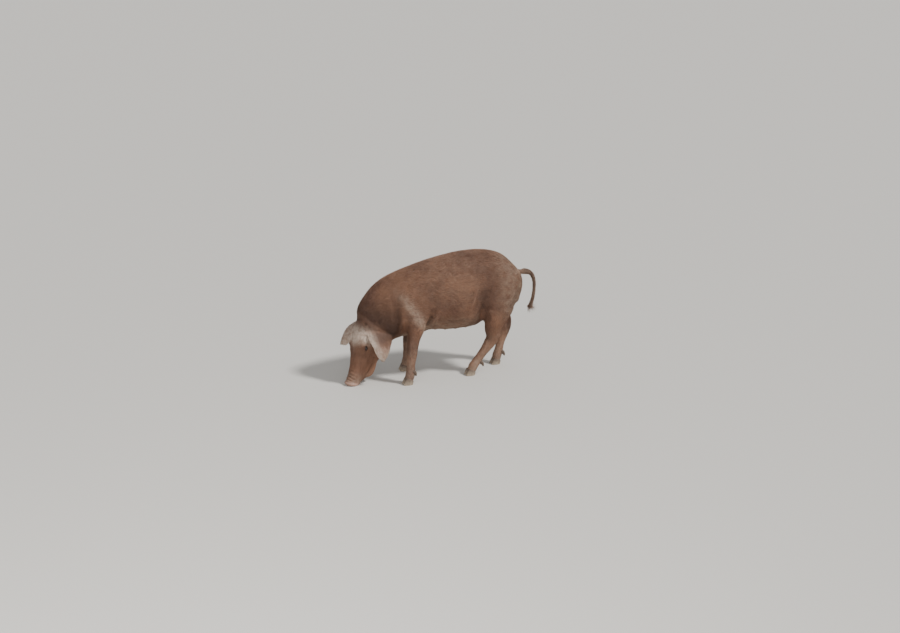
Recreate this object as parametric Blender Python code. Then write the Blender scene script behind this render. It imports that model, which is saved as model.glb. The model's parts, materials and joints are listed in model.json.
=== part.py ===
"""A growing red farm hog, life size, standing with its snout lowered to the ground.

The hog heads along -X and its left side faces -Y. Its flesh is modelled as overlapping
masses, fused into one smooth body and then parted with thin cuts into the parts that a
stockman would name. Ears, eyes, claws and dewclaws are solids of their own.
"""

import math

import bmesh
import bpy
import numpy as np
from mathutils import Matrix, Vector

# Driving dimensions, in metres. X is measured back from the left forefoot.
GAP = 0.0003
WITHERS = 0.550
LOIN = 0.609
TRUNK_HALF = 0.146
BRISKET = 0.210
BELLY = 0.225
FLANK = 0.231
STANCE_FORE = 0.105
STANCE_HIND = 0.063
LEG_OFFSET_FORE = 0.042
HIND_FOOT = 0.322
HOCK = 0.432
FAR_FOOT_BACK = 0.176
FAR_HOCK_BACK = 0.112

HEAD_LENGTH = 0.300
POLL = Vector((-0.208, -0.010, 0.293))
HEAD_PITCH = math.radians(78.0)
HEAD_YAW = math.radians(22.0)
SNOUT_RADIUS = 0.034
SNOUT_LEAN = 13.0
EYE_RADIUS = 0.0125
EAR_THICKNESS = 0.0056
EAR_BOW = 0.020
EAR_ROOT_ROWS = 1.0
EYE_ALONG = 0.106
EYE_BROW = -0.014
EYE_LEFT = 0.0532
SNOUT_CUT = 0.282
ELBOW_CUT = 0.310
KNEE_CUT = 0.150
STIFLE_CUT = 0.330
HOCK_CUT = 0.165
TAIL_CUT = 0.609
STEP = 0.012

CLAW_LENGTH = 0.047
CLAW_WIDTH = 0.0228
CLAW_HEIGHT = 0.032
CORONET_FALL = 0.30
CLEFT = 0.0026
PASTERN_SHARE = 0.28

VOXEL = 0.0055
BROAD_BLEND = 110
FINE_BLEND = 34
BODY_TRIANGLES = 4000

HIDE = (0.195, 0.085, 0.048, 1.0)
HIDE_PALE = (0.290, 0.150, 0.100, 1.0)
HORN = (0.055, 0.040, 0.030, 1.0)
EYE_DARK = (0.015, 0.009, 0.006, 1.0)


# ---------------------------------------------------------------- building tools
def clear_scene():
    for item in list(bpy.data.objects):
        bpy.data.objects.remove(item, do_unlink=True)


def material(name, colour, roughness):
    """A plain Principled material."""
    made = bpy.data.materials.new(name)
    made.use_nodes = True
    shader = made.node_tree.nodes["Principled BSDF"]
    shader.inputs["Base Color"].default_value = colour
    shader.inputs["Roughness"].default_value = roughness
    shader.inputs["Metallic"].default_value = 0.0
    return made


def add_object(name, mesh):
    item = bpy.data.objects.new(name, mesh)
    bpy.context.scene.collection.objects.link(item)
    return item


def mesh_object(name, points, faces):
    """A closed mesh from points and faces, with its faces turned outwards."""
    mesh = bpy.data.meshes.new(name)
    mesh.from_pydata([tuple(p) for p in points], [], faces)
    shaped = bmesh.new()
    shaped.from_mesh(mesh)
    bmesh.ops.recalc_face_normals(shaped, faces=shaped.faces)
    shaped.to_mesh(mesh)
    shaped.free()
    return add_object(name, mesh)


def smooth_path(rows, count):
    """Rows of numbers joined by a smooth curve through them all, read at count places."""
    rows = np.asarray(rows, float)
    padded = np.vstack([2 * rows[0] - rows[1], rows, 2 * rows[-1] - rows[-2]])
    places = np.linspace(0, len(rows) - 1, count)
    found = []
    for place in places:
        i = min(int(place), len(rows) - 2)
        t = place - i
        p0, p1, p2, p3 = padded[i : i + 4]
        found.append(
            0.5
            * (
                2 * p1
                + (p2 - p0) * t
                + (2 * p0 - 5 * p1 + 4 * p2 - p3) * t**2
                + (3 * p1 - p0 - 3 * p2 + p3) * t**3
            )
        )
    return np.array(found)


def section(centre, side, up, half, above, below, fullness, sides):
    """An oval ring: half its width, its reach above and below centre, and how square it is."""
    ring = []
    for k in range(sides):
        turn = 2 * math.pi * k / sides
        c, s = math.cos(turn), math.sin(turn)
        across = half * math.copysign(abs(c) ** (2 / fullness), c)
        rise = above if s > 0 else below
        high = rise * math.copysign(abs(s) ** (2 / fullness), s)
        ring.append(Vector(centre) + Vector(side) * across + Vector(up) * high)
    return ring


def loft(name, rings):
    """A closed skin over a row of rings that all have the same number of points."""
    sides = len(rings[0])
    points = [p for ring in rings for p in ring]
    faces = []
    for i in range(len(rings) - 1):
        for k in range(sides):
            nxt = (k + 1) % sides
            low, high = i * sides, (i + 1) * sides
            faces.append((low + k, low + nxt, high + nxt, high + k))
    faces.append(tuple(range(sides)))
    faces.append(tuple(range((len(rings) - 1) * sides, len(rings) * sides)))
    return mesh_object(name, points, faces)


def profile_mass(name, rows, sides=32, count=40):
    """A mass seen from the side: rows of top x, z, bottom x, z, half width and fullness."""
    rings = []
    for top_x, top_z, low_x, low_z, half, fullness in smooth_path(rows, count):
        top, low = Vector((top_x, 0, top_z)), Vector((low_x, 0, low_z))
        up = (top - low).normalized()
        reach = (top - low).length / 2
        rings.append(
            section((top + low) / 2, (0, 1, 0), up, half, reach, reach, fullness, sides)
        )
    return loft(name, rings)


def limb(name, rows, sides=20, count=30):
    """A limb along a path: rows of x, y, z, half its breadth fore and aft, half its width."""
    path = smooth_path(rows, count)
    rings = []
    for i, (x, y, z, fore, wide) in enumerate(path):
        ahead = Vector(path[min(i + 1, count - 1)][:3]) - Vector(path[max(i - 1, 0)][:3])
        ahead.normalize()
        side = Vector((0, 1, 0)) - ahead * ahead.y
        side.normalize()
        up = ahead.cross(side)
        rings.append(section((x, y, z), side, up, wide, fore, fore, 2.0, sides))
    return loft(name, rings)


def muscle(name, centre, radii, turn=(0, 0, 0), sides=24):
    """An egg-shaped mass, turned about X, Y and Z by degrees."""
    shaped = bmesh.new()
    bmesh.ops.create_uvsphere(shaped, u_segments=sides, v_segments=sides // 2, radius=1.0)
    mesh = bpy.data.meshes.new(name)
    shaped.to_mesh(mesh)
    shaped.free()
    place = Matrix.Translation(Vector(centre))
    for angle, axis in zip(turn, "XYZ"):
        place = place @ Matrix.Rotation(math.radians(angle), 4, axis)
    mesh.transform(place @ Matrix.Diagonal((*radii, 1.0)))
    return add_object(name, mesh)


def evaluated(item):
    """The item's mesh with its modifiers applied, in place of the old one."""
    depsgraph = bpy.context.evaluated_depsgraph_get()
    mesh = bpy.data.meshes.new_from_object(item.evaluated_get(depsgraph))
    item.modifiers.clear()
    item.data = mesh
    return item


def fuse(name, masses):
    """One mesh that holds every mass, still overlapping."""
    shaped = bmesh.new()
    for item in masses:
        shaped.from_mesh(item.data)
        bpy.data.objects.remove(item, do_unlink=True)
    mesh = bpy.data.meshes.new(name)
    shaped.to_mesh(mesh)
    shaped.free()
    return add_object(name, mesh)


def cut_with(item, cutter, operation="DIFFERENCE"):
    tool = item.modifiers.new("cut", "BOOLEAN")
    tool.operation = operation
    tool.solver = "EXACT"
    tool.object = cutter
    evaluated(item)
    return item


def grown_copy(item, by):
    """A copy of a solid that reaches further out on every side."""
    copy = add_object("grown", item.data.copy())
    copy.matrix_world = item.matrix_world.copy()
    push = copy.modifiers.new("push", "DISPLACE")
    push.strength = by
    push.mid_level = 0.0
    return evaluated(copy)


def block(face, outward, breadth, height, depth, extra=0.0):
    """A box that starts at a face and runs outward, to take a part of the body with."""
    shaped = bmesh.new()
    bmesh.ops.create_cube(shaped, size=1.0)
    mesh = bpy.data.meshes.new("block")
    shaped.to_mesh(mesh)
    shaped.free()
    turn = Vector(outward).to_track_quat("X", "Z").to_matrix().to_4x4()
    size = Matrix.Diagonal((depth + 2 * extra, breadth + 2 * extra, height + 2 * extra, 1.0))
    middle = Matrix.Translation((depth / 2, 0, 0))
    mesh.transform(Matrix.Translation(Vector(face)) @ turn @ middle @ size)
    return add_object("block", mesh)


def take(body, name, face, outward, breadth, height, depth):
    """Parts what lies in a block from the body, with a thin gap, and names it."""
    inside = block(face, outward, breadth, height, depth)
    piece = add_object(name, body.data.copy())
    cut_with(piece, inside, "INTERSECT")
    around = block(face, outward, breadth, height, depth, GAP)
    cut_with(body, around)
    bpy.data.objects.remove(inside, do_unlink=True)
    bpy.data.objects.remove(around, do_unlink=True)
    return piece


# ---------------------------------------------------------------- the head's own frame
HEADING = Vector((-math.cos(HEAD_YAW), -math.sin(HEAD_YAW), 0))
HEAD_LEFT = Vector((0, 0, 1)).cross(HEADING)
NOSEWARD = HEADING * math.cos(HEAD_PITCH) - Vector((0, 0, 1)) * math.sin(HEAD_PITCH)
BROWWARD = HEADING * math.sin(HEAD_PITCH) + Vector((0, 0, 1)) * math.cos(HEAD_PITCH)


def in_head(along, brow, left):
    """A place on the head: from the poll towards the nose, towards the brow, to its left."""
    return POLL + NOSEWARD * along + BROWWARD * brow + HEAD_LEFT * left


def head_mass(name, rows, sides=32, count=40):
    """A mass along the head: rows of place, top, bottom, half width, fullness and lean."""
    rings = []
    for along, top, bottom, half, fullness, lean in smooth_path(rows, count):
        middle, reach = (top + bottom) / 2, (top - bottom) / 2
        centre = in_head(along, middle, 0)
        up = BROWWARD * math.cos(math.radians(lean)) - NOSEWARD * math.sin(math.radians(lean))
        rings.append(section(centre, HEAD_LEFT, up, half, reach, reach, fullness, sides))
    return loft(name, rings)


def head_lump(name, along, brow, left, radii, sides=24):
    """An egg-shaped mass on the head, its radii along the head's own directions."""
    item = muscle(name, (0, 0, 0), (radii[0], radii[2], radii[1]), sides=sides)
    turn = Matrix((NOSEWARD, HEAD_LEFT, BROWWARD)).transposed().to_4x4()
    item.data.transform(Matrix.Translation(in_head(along, brow, left)) @ turn)
    return item


# ---------------------------------------------------------------- masses of flesh
def trunk_masses():
    rows = [
        (-0.060, 0.500, -0.040, 0.260, 0.080, 2.0),
        (-0.012, 0.533, -0.012, 0.215, 0.106, 2.0),
        (0.040, WITHERS, 0.040, BRISKET, 0.125, 2.1),
        (0.120, 0.571, 0.120, 0.234, 0.138, 2.2),
        (0.220, 0.593, 0.220, BELLY, TRUNK_HALF, 2.2),
        (0.300, 0.605, 0.300, 0.228, TRUNK_HALF, 2.2),
        (0.370, LOIN, 0.360, FLANK, 0.132, 2.1),
        (0.440, 0.601, 0.425, 0.272, 0.122, 2.1),
        (0.500, 0.579, 0.485, 0.330, 0.116, 2.1),
        (0.548, 0.535, 0.535, 0.360, 0.096, 2.0),
        (0.592, 0.488, 0.585, 0.400, 0.050, 2.0),
    ]
    return [profile_mass("trunk", rows)]


def neck_masses():
    rows = [
        (0.060, WITHERS + 0.002, 0.030, 0.235, 0.114, 2.0),
        (-0.012, 0.535, -0.020, 0.203, 0.108, 2.0),
        (-0.066, 0.516, -0.045, 0.196, 0.100, 2.0),
        (-0.117, 0.489, -0.060, 0.192, 0.095, 2.0),
        (-0.163, 0.450, -0.072, 0.190, 0.090, 2.0),
        (-0.208, 0.390, -0.086, 0.188, 0.083, 2.0),
        (-0.232, 0.340, -0.110, 0.180, 0.072, 2.0),
    ]
    return [profile_mass("neck", rows)]


def head_masses():
    rows = [
        (-0.035, -0.012, -0.130, 0.060, 2.0, 0),
        (0.010, 0.008, -0.158, 0.073, 2.1, 0),
        (0.055, 0.023, -0.165, 0.080, 2.2, 0),
        (0.100, 0.026, -0.154, 0.074, 2.2, 0),
        (0.145, 0.018, -0.136, 0.062, 2.3, 0),
        (0.185, 0.012, -0.115, 0.053, 2.4, 0),
        (0.225, 0.013, -0.090, 0.045, 2.4, 2),
        (0.262, 0.019, -0.062, 0.039, 2.3, 6),
        (0.286, 0.029, -0.040, 0.034, 2.1, SNOUT_LEAN),
        (HEAD_LENGTH, SNOUT_RADIUS, -SNOUT_RADIUS, SNOUT_RADIUS + 0.002, 2.0, SNOUT_LEAN),
        (HEAD_LENGTH + 0.006, 0.029, -0.029, 0.031, 2.0, SNOUT_LEAN),
    ]
    masses = [head_mass("skull", rows)]
    for side in (-1, 1):
        masses.append(head_lump("cheek", 0.080, -0.100, side * 0.048, (0.080, 0.058, 0.038)))
        masses.append(head_lump("brow", 0.082, 0.000, side * 0.044, (0.034, 0.020, 0.023)))
        masses.append(head_lump("jaw", 0.190, -0.077, side * 0.026, (0.070, 0.034, 0.024)))
    masses.append(head_lump("jowl", 0.065, -0.135, 0.0, (0.080, 0.045, 0.062)))
    masses.append(head_lump("poll", -0.030, -0.040, 0.0, (0.052, 0.044, 0.058)))
    masses.append(head_lump("chin", 0.245, -0.052, 0.0, (0.030, 0.022, 0.024)))
    return masses


def fore_leg_masses(side):
    """side is -1 for the left leg and 1 for the right."""
    y = side * STANCE_FORE
    x = LEG_OFFSET_FORE if side > 0 else 0.0
    rows = [
        (0.050 + x * 0.2, y * 0.76, 0.400, 0.060, 0.036),
        (0.047 + x * 0.4, y * 0.90, 0.330, 0.054, 0.036),
        (0.040 + x * 0.7, y * 0.98, 0.275, 0.045, 0.034),
        (0.027 + x * 0.9, y, 0.225, 0.033, 0.028),
        (0.018 + x, y, 0.170, 0.029, 0.026),
        (0.015 + x, y, 0.140, 0.028, 0.026),
        (0.011 + x, y, 0.100, 0.022, 0.021),
        (0.008 + x, y, 0.065, 0.022, 0.022),
        (0.006 + x, y, 0.045, 0.025, 0.026),
        (-0.003 + x, y, 0.012, 0.022, 0.024),
    ]
    return [
        limb("foreleg", rows),
        muscle("heel", (0.020 + x, y, 0.066), (0.015, 0.021, 0.019)),
        muscle("elbow", (0.060 + x * 0.5, side * 0.094, 0.302), (0.036, 0.032, 0.048)),
    ]


def hind_leg_masses(side):
    y = side * STANCE_HIND
    foot = HIND_FOOT + (FAR_FOOT_BACK if side > 0 else 0.0)
    hock = HOCK + (FAR_HOCK_BACK if side > 0 else 0.0)
    rows = [
        (0.485, side * 0.066, 0.430, 0.080, 0.046),
        (0.310 + 0.34 * hock, side * 0.084, 0.340, 0.080, 0.050),
        (0.150 + 0.66 * hock, side * 0.088, 0.272, 0.056, 0.040),
        (hock - 0.002, side * 0.082, 0.225, 0.045, 0.030),
        (hock + 0.004, side * 0.076, 0.190, 0.037, 0.026),
        (hock * 0.88 + foot * 0.12, side * 0.072, 0.160, 0.032, 0.025),
        (hock * 0.60 + foot * 0.40, side * 0.068, 0.115, 0.023, 0.022),
        (hock * 0.30 + foot * 0.70, y, 0.070, 0.022, 0.022),
        (hock * 0.14 + foot * 0.86, y, 0.045, 0.025, 0.025),
        (foot, y, 0.012, 0.022, 0.024),
    ]
    heel = foot + PASTERN_SHARE * (hock - foot) + 0.014
    return [
        limb("hindleg", rows, count=40),
        muscle("heel", (heel, y, 0.068), (0.015, 0.020, 0.019)),
        muscle("hock", (hock + 0.026, side * 0.075, 0.186), (0.015, 0.012, 0.022), (0, 25, 0)),
    ]


def broad_muscles(side):
    """The shoulder blade and upper arm, and the ham and thigh, that swell the trunk."""
    return [
        muscle("blade", (0.050, side * 0.064, 0.390), (0.084, 0.060, 0.120), (0, -12, 0)),
        muscle("arm", (0.026, side * 0.076, 0.318), (0.070, 0.046, 0.062), (0, 30, 0)),
        muscle("ham", (0.490, side * 0.078, 0.425), (0.100, 0.068, 0.122), (0, 20, 0)),
        muscle("thigh", (0.452, side * 0.088, 0.350), (0.078, 0.054, 0.080), (0, 10, 0)),
    ]


def tail_mass():
    rows = [
        (0.578, 0.000, 0.468, 0.020, 0.020),
        (0.606, 0.000, 0.480, 0.016, 0.016),
        (0.634, -0.002, 0.478, 0.013, 0.013),
        (0.657, -0.006, 0.462, 0.011, 0.011),
        (0.667, -0.012, 0.422, 0.010, 0.010),
        (0.662, -0.016, 0.362, 0.0095, 0.0095),
        (0.650, -0.012, 0.318, 0.009, 0.009),
        (0.630, -0.004, 0.297, 0.007, 0.007),
    ]
    return limb("tail", rows, sides=12, count=40)


def blend(name, masses, iterations):
    """Masses fused into one skin by small cubes, and smoothed until their joins run out."""
    flesh = fuse(name, masses)
    remesh = flesh.modifiers.new("remesh", "REMESH")
    remesh.mode = "VOXEL"
    remesh.voxel_size = VOXEL
    smooth = flesh.modifiers.new("smooth", "SMOOTH")
    smooth.factor = 0.5
    smooth.iterations = iterations
    return evaluated(flesh)


def build_flesh():
    """The whole body as one smooth skin, then lightened to a few thousand faces."""
    broad = trunk_masses() + neck_masses()
    narrow = head_masses() + [tail_mass()]
    for side in (-1, 1):
        broad += broad_muscles(side)
        narrow += fore_leg_masses(side) + hind_leg_masses(side)
    body = blend("body", broad, BROAD_BLEND)
    flesh = blend("flesh", [body] + narrow, FINE_BLEND)
    lighten = flesh.modifiers.new("lighten", "DECIMATE")
    lighten.ratio = BODY_TRIANGLES / (2 * len(flesh.data.polygons))
    evaluated(flesh)
    return flesh


# ---------------------------------------------------------------- ears, eyes and claws
def ear(name, side, root, lay, bend, tip, curl):
    """A broad soft ear that hangs from the poll, cupped towards the face.

    root holds its front and back corners, bend and tip where its middle line runs to, and
    lay half its chord where it hangs free, all as along, brow and out from the midline;
    curl is how far its sides fold inwards."""
    root_front, root_back, bend, tip = [
        in_head(along, brow, -side * out) for along, brow, out in (*root, bend, tip)
    ]
    start = (root_front + root_back) / 2
    root_chord = (root_back - root_front) / 2
    free_chord = in_head(lay[0], lay[1], -side * lay[2]) - POLL
    rows, across = 9, 6
    skins = []
    for half in (-0.5, 0.5):
        for i in range(rows + 1):
            t = (i - EAR_ROOT_ROWS) / (rows - EAR_ROOT_ROWS)
            run = max(t, 0.0)
            width = (1.0 + 0.16 * math.sin(math.pi * min(run * 1.6, 1.0))) * (1 - run**2.3) ** 0.62
            width = max(width, 0.06)
            chord = root_chord.lerp(free_chord, min(run / 0.6, 1.0))
            middle = start * (1 - t) ** 2 + bend * (2 * t * (1 - t)) + tip * t**2
            ahead = (bend - start) * (1 - t) + (tip - bend) * t
            face = chord.cross(ahead).normalized() * side
            bow = EAR_BOW * math.sin(math.pi * run)
            wall = EAR_THICKNESS * (1.0 - 0.45 * run)
            for k in range(across + 1):
                v = 2 * k / across - 1
                cup = -curl * (1 - 0.4 * run) * (abs(v) ** 1.7)
                edge = wall * (1 - 0.35 * abs(v) ** 4)
                skins.append(middle + chord * (v * width) + face * (bow + cup + half * edge))
    side_count = (rows + 1) * (across + 1)
    faces = []
    for i in range(rows):
        for k in range(across):
            a = i * (across + 1) + k
            quad = (a, a + 1, a + across + 2, a + across + 1)
            faces.append(quad)
            faces.append(tuple(q + side_count for q in reversed(quad)))
    rim = list(range(across + 1))
    rim += [(i + 1) * (across + 1) - 1 for i in range(1, rows + 1)]
    rim += [rows * (across + 1) + k for k in range(across - 1, -1, -1)]
    rim += [i * (across + 1) for i in range(rows - 1, 0, -1)]
    for i, a in enumerate(rim):
        b = rim[(i + 1) % len(rim)]
        faces.append((b, a, a + side_count, b + side_count))
    return mesh_object(name, skins, faces)


def eyeball(name, side, radius):
    return head_lump(name, EYE_ALONG, EYE_BROW, -side * EYE_LEFT, (radius,) * 3, sides=12)


def claw(name, foot, side, turn):
    """One main claw: a flat sole, a sloping wall that is higher at the toe than the heel."""
    rings = []
    for rise in (0.0, 0.35, 1.0):
        ring = []
        for k in range(16):
            angle = 2 * math.pi * k / 16
            c, s = math.cos(angle), math.sin(angle)
            ahead = math.copysign(abs(c) ** 0.85, c) * CLAW_LENGTH / 2 * (1 - 0.16 * rise)
            across = math.copysign(abs(s) ** 0.80, s) * CLAW_WIDTH / 2 * (1 - 0.08 * rise)
            if across * side < 0:
                across *= 0.80
            taper = 1 - 0.30 * max(c, 0) ** 2
            x = -ahead + 0.008 * rise
            top = CLAW_HEIGHT - (x + CLAW_LENGTH / 2) * CORONET_FALL
            ring.append(Vector((x, across * taper, top * rise)))
        rings.append(ring)
    item = loft(name, rings)
    place = Matrix.Translation(Vector(foot)) @ Matrix.Rotation(turn, 4, "Z")
    item.data.transform(place)
    return item


def dewclaw(name, leg_x, leg_y, side):
    """A small blunt claw behind the pastern that clears the ground."""
    rows = [
        (leg_x + 0.012, leg_y + side * 0.012, 0.068, 0.009, 0.009),
        (leg_x + 0.023, leg_y + side * 0.0135, 0.058, 0.0085, 0.0085),
        (leg_x + 0.0275, leg_y + side * 0.0145, 0.049, 0.0072, 0.0075),
        (leg_x + 0.028, leg_y + side * 0.015, 0.041, 0.0042, 0.0050),
    ]
    return limb(name, rows, sides=7, count=4)


def feet_and_claws(flesh):
    """Cuts each foot off along its coronet and hangs its claws and dewclaws on it."""
    near_slope = PASTERN_SHARE * (HOCK - HIND_FOOT)
    far_slope = PASTERN_SHARE * (HOCK + FAR_HOCK_BACK - HIND_FOOT - FAR_FOOT_BACK)
    feet = {
        "forefoot_left": (-0.002, -STANCE_FORE, -1, 0.007),
        "forefoot_right": (-0.002 + LEG_OFFSET_FORE, STANCE_FORE, 1, 0.007),
        "hindfoot_left": (HIND_FOOT + 0.001, -STANCE_HIND, -1, near_slope),
        "hindfoot_right": (HIND_FOOT + FAR_FOOT_BACK + 0.001, STANCE_HIND, 1, far_slope),
    }
    made = []
    slope = Vector((-CORONET_FALL, 0, -1)).normalized()
    for foot, (x, y, leg_side, slope_back) in feet.items():
        middle = Vector((x - 0.006, y, 0))
        top = CLAW_HEIGHT - (CLAW_LENGTH / 2) * CORONET_FALL
        face = middle + Vector((0, 0, top + GAP))
        under = block(face, slope, 0.09, 0.09, 0.06)
        cut_with(flesh, under)
        bpy.data.objects.remove(under, do_unlink=True)
        for side, which in ((-leg_side, "inner"), (leg_side, "outer")):
            place = middle + Vector((0, side * (CLAW_WIDTH * 0.5 + CLEFT / 2), 0))
            turn = math.radians(-side * 5.0)
            made.append(claw(f"{foot}_{which}_claw", place, side, turn))
            made.append(dewclaw(f"{foot}_{which}_dewclaw", x + slope_back, y, side))
    grown = grown_copy(flesh, GAP)
    for item in made:
        if "dewclaw" in item.name:
            cut_with(item, grown)
    bpy.data.objects.remove(grown, do_unlink=True)
    return made


def build_features(flesh):
    """Eyes set into the head, ears that hang from the poll, and the claws."""
    made = []
    for side, which in ((-1, "left"), (1, "right")):
        socket = eyeball("socket", side, EYE_RADIUS + 2 * GAP)
        cut_with(flesh, socket)
        bpy.data.objects.remove(socket, do_unlink=True)
        nostril = head_lump(
            "nostril", HEAD_LENGTH + 0.010, 0.002, side * 0.0125, (0.014, 0.008, 0.0055), sides=8
        )
        cut_with(flesh, nostril)
        bpy.data.objects.remove(nostril, do_unlink=True)
        made.append(eyeball(f"eye_{which}", side, EYE_RADIUS))
    grown = grown_copy(flesh, GAP)
    left_ear = ear(
        "ear_left",
        -1,
        ((-0.004, -0.010, 0.044), (-0.026, -0.122, 0.070)),
        (-0.006, -0.056, 0.014),
        (0.072, -0.060, 0.100),
        (0.150, -0.060, 0.144),
        0.022,
    )
    right_ear = ear(
        "ear_right",
        1,
        ((-0.002, -0.002, 0.036), (-0.022, -0.064, 0.080)),
        (-0.034, -0.004, 0.034),
        (0.096, 0.010, 0.054),
        (0.114, 0.042, 0.074),
        0.012,
    )
    for item in (left_ear, right_ear):
        cut_with(item, grown)
        made.append(item)
    bpy.data.objects.remove(grown, do_unlink=True)
    return made + feet_and_claws(flesh)


# ---------------------------------------------------------------- parting the flesh
def take_box(body, name, low, high):
    """Parts what lies in an upright box, given by its lowest and highest corners."""
    low, high = Vector(low), Vector(high)
    size = high - low
    face = Vector((low.x, (low.y + high.y) / 2, (low.z + high.z) / 2))
    return take(body, name, face, (1, 0, 0), abs(size.y), size.z, size.x)


def take_side(body, name, side, x, y, z):
    """Parts a box on one side: its reach in X, out from the midline, and in Z."""
    inner, outer = (y[0], y[1]) if side > 0 else (-y[1], -y[0])
    return take_box(body, name, (x[0], inner, z[0]), (x[1], outer, z[1]))


def part_flesh(flesh):
    """Parts the body where a stockman names its parts; what stays whole is the trunk."""
    throat = Vector((-0.045, 0, 0.205))
    crest = Vector((-0.238, 0, 0.365))
    middle = (throat + crest) / 2
    ahead = Vector((throat.z - crest.z, 0, crest.x - throat.x)).normalized()
    head = take(flesh, "head", middle, ahead, 0.40, 0.32, 0.45)
    snout = take(head, "snout", in_head(SNOUT_CUT, 0, 0), NOSEWARD, 0.12, 0.12, 0.08)
    neck = take(flesh, "neck", (-0.030, 0, 0.370), (-1, 0, 0.10), 0.40, 0.50, 0.30)
    tail = take(flesh, "tail", (TAIL_CUT, 0, 0.420), (1, 0, 0), 0.12, 0.30, 0.30)
    tip = take(tail, "tail_tip", (0.660, 0, 0.385), (0, 0, -1), 0.20, 0.20, 0.20)
    pieces = [head, snout, neck, tail, tip]
    for side, which in ((-1, "left"), (1, "right")):
        fore = LEG_OFFSET_FORE * 0.5 if side > 0 else 0.0
        hind = FAR_HOCK_BACK * 0.5 if side > 0 else 0.0
        shoulder = take_side(
            flesh, f"shoulder_{which}", side, (-0.026, 0.125), (0.072, 0.30), (ELBOW_CUT, 0.500)
        )
        arm = take_side(
            flesh,
            f"foreleg_{which}",
            side,
            (-0.055 + fore, 0.096 + fore),
            (0.062, 0.30),
            (-0.10, ELBOW_CUT + STEP),
        )
        knee = (0, side * STANCE_FORE, KNEE_CUT)
        forefoot = take(arm, f"forefoot_{which}", knee, (0, 0, -1), 0.5, 0.5, 0.3)
        ham = take_side(
            flesh, f"ham_{which}", side, (0.378, 0.700), (0.045, 0.30), (STIFLE_CUT, 0.540)
        )
        hindfoot = take(
            flesh,
            f"hindfoot_{which}",
            (HOCK + 2 * hind, side * 0.089, HOCK_CUT),
            (-0.3, 0, -1),
            0.130,
            0.42,
            0.30,
        )
        leg = take_side(
            flesh,
            f"hindleg_{which}",
            side,
            (0.350 + hind, 0.700),
            (0.028, 0.30),
            (HOCK_CUT - 0.08, STIFLE_CUT + STEP),
        )
        pieces += [shoulder, arm, forefoot, ham, leg, hindfoot]
    flesh.name = "trunk"
    return pieces + [flesh]


def stand_on_floor(items):
    """Moves everything so that the origin is under the middle of the box round it all."""
    corners = [v.co for item in items for v in item.data.vertices]
    low = Vector(min(c[axis] for c in corners) for axis in range(3))
    high = Vector(max(c[axis] for c in corners) for axis in range(3))
    shift = Matrix.Translation((-(low.x + high.x) / 2, -(low.y + high.y) / 2, -low.z))
    for item in items:
        item.data.transform(shift)


def main():
    clear_scene()
    hide = material("hide", HIDE, 0.7)
    pale = material("pale_skin", HIDE_PALE, 0.6)
    horn = material("horn", HORN, 0.5)
    dark = material("eye", EYE_DARK, 0.15)
    flesh = build_flesh()
    floor = block((0, 0, 0), (0, 0, -1), 3.0, 3.0, 0.2)
    cut_with(flesh, floor)
    bpy.data.objects.remove(floor, do_unlink=True)
    features = build_features(flesh)
    flesh_parts = part_flesh(flesh)
    for item in flesh_parts + features:
        item.data.materials.clear()
        finish = hide
        if "claw" in item.name:
            finish = horn
        elif item.name.startswith("eye"):
            finish = dark
        elif item.name == "snout":
            finish = pale
        item.data.materials.append(finish)
    stand_on_floor(flesh_parts + features)


main()
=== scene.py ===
import json
import math

import bmesh
import bpy
import numpy as np
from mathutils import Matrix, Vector
from mathutils.bvhtree import BVHTree

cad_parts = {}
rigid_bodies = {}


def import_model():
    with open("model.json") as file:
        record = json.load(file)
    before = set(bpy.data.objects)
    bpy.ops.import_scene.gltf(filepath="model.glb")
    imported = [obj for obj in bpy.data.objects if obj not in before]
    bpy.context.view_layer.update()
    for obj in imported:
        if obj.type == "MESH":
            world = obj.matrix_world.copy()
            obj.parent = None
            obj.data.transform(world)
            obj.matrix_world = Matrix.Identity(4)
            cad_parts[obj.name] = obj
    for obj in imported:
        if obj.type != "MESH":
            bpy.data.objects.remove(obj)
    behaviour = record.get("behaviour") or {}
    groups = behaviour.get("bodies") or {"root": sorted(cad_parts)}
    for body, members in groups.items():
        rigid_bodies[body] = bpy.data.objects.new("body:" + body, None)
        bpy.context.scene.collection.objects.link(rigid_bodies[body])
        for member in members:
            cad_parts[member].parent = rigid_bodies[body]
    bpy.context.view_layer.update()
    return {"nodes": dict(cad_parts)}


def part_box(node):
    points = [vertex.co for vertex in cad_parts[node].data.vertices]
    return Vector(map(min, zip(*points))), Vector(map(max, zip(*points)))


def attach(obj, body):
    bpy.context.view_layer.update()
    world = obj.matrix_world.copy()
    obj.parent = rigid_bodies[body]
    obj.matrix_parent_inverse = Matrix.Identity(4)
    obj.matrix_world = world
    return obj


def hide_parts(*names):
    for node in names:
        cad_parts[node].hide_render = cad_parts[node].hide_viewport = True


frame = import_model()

# ------------------------------------------------------------------ the hide, as one closed skin
# A living hog has no seams, so the parted flesh is merged again: its pieces are copied, swollen
# by a hair's breadth so that they meet, and drawn over with one fine skin. The eyes go in too,
# because the lids are part of the skin and slide over them. The thin ears are padded for this,
# and thinned again by the coat's depth below.
EYES = ("eye_left", "eye_right")
EARS = ("ear_left", "ear_right")
FLESH = [name for name in frame["nodes"] if "claw" not in name and name not in EYES]
SWELL = 0.0004
EAR_PADDING = 0.0012
SKIN_GRAIN = 0.0023


def wake(piece):
    """Makes a piece the only selected one, ready for the next operator."""
    bpy.ops.object.select_all(action="DESELECT")
    piece.select_set(True)
    bpy.context.view_layer.objects.active = piece


def finish_with(piece, kind, **settings):
    """Adds a modifier to a piece and applies it."""
    wake(piece)
    step = piece.modifiers.new(kind.lower(), kind)
    for name, value in settings.items():
        setattr(step, name, value)
    bpy.ops.object.modifier_apply(modifier=step.name)


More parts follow.
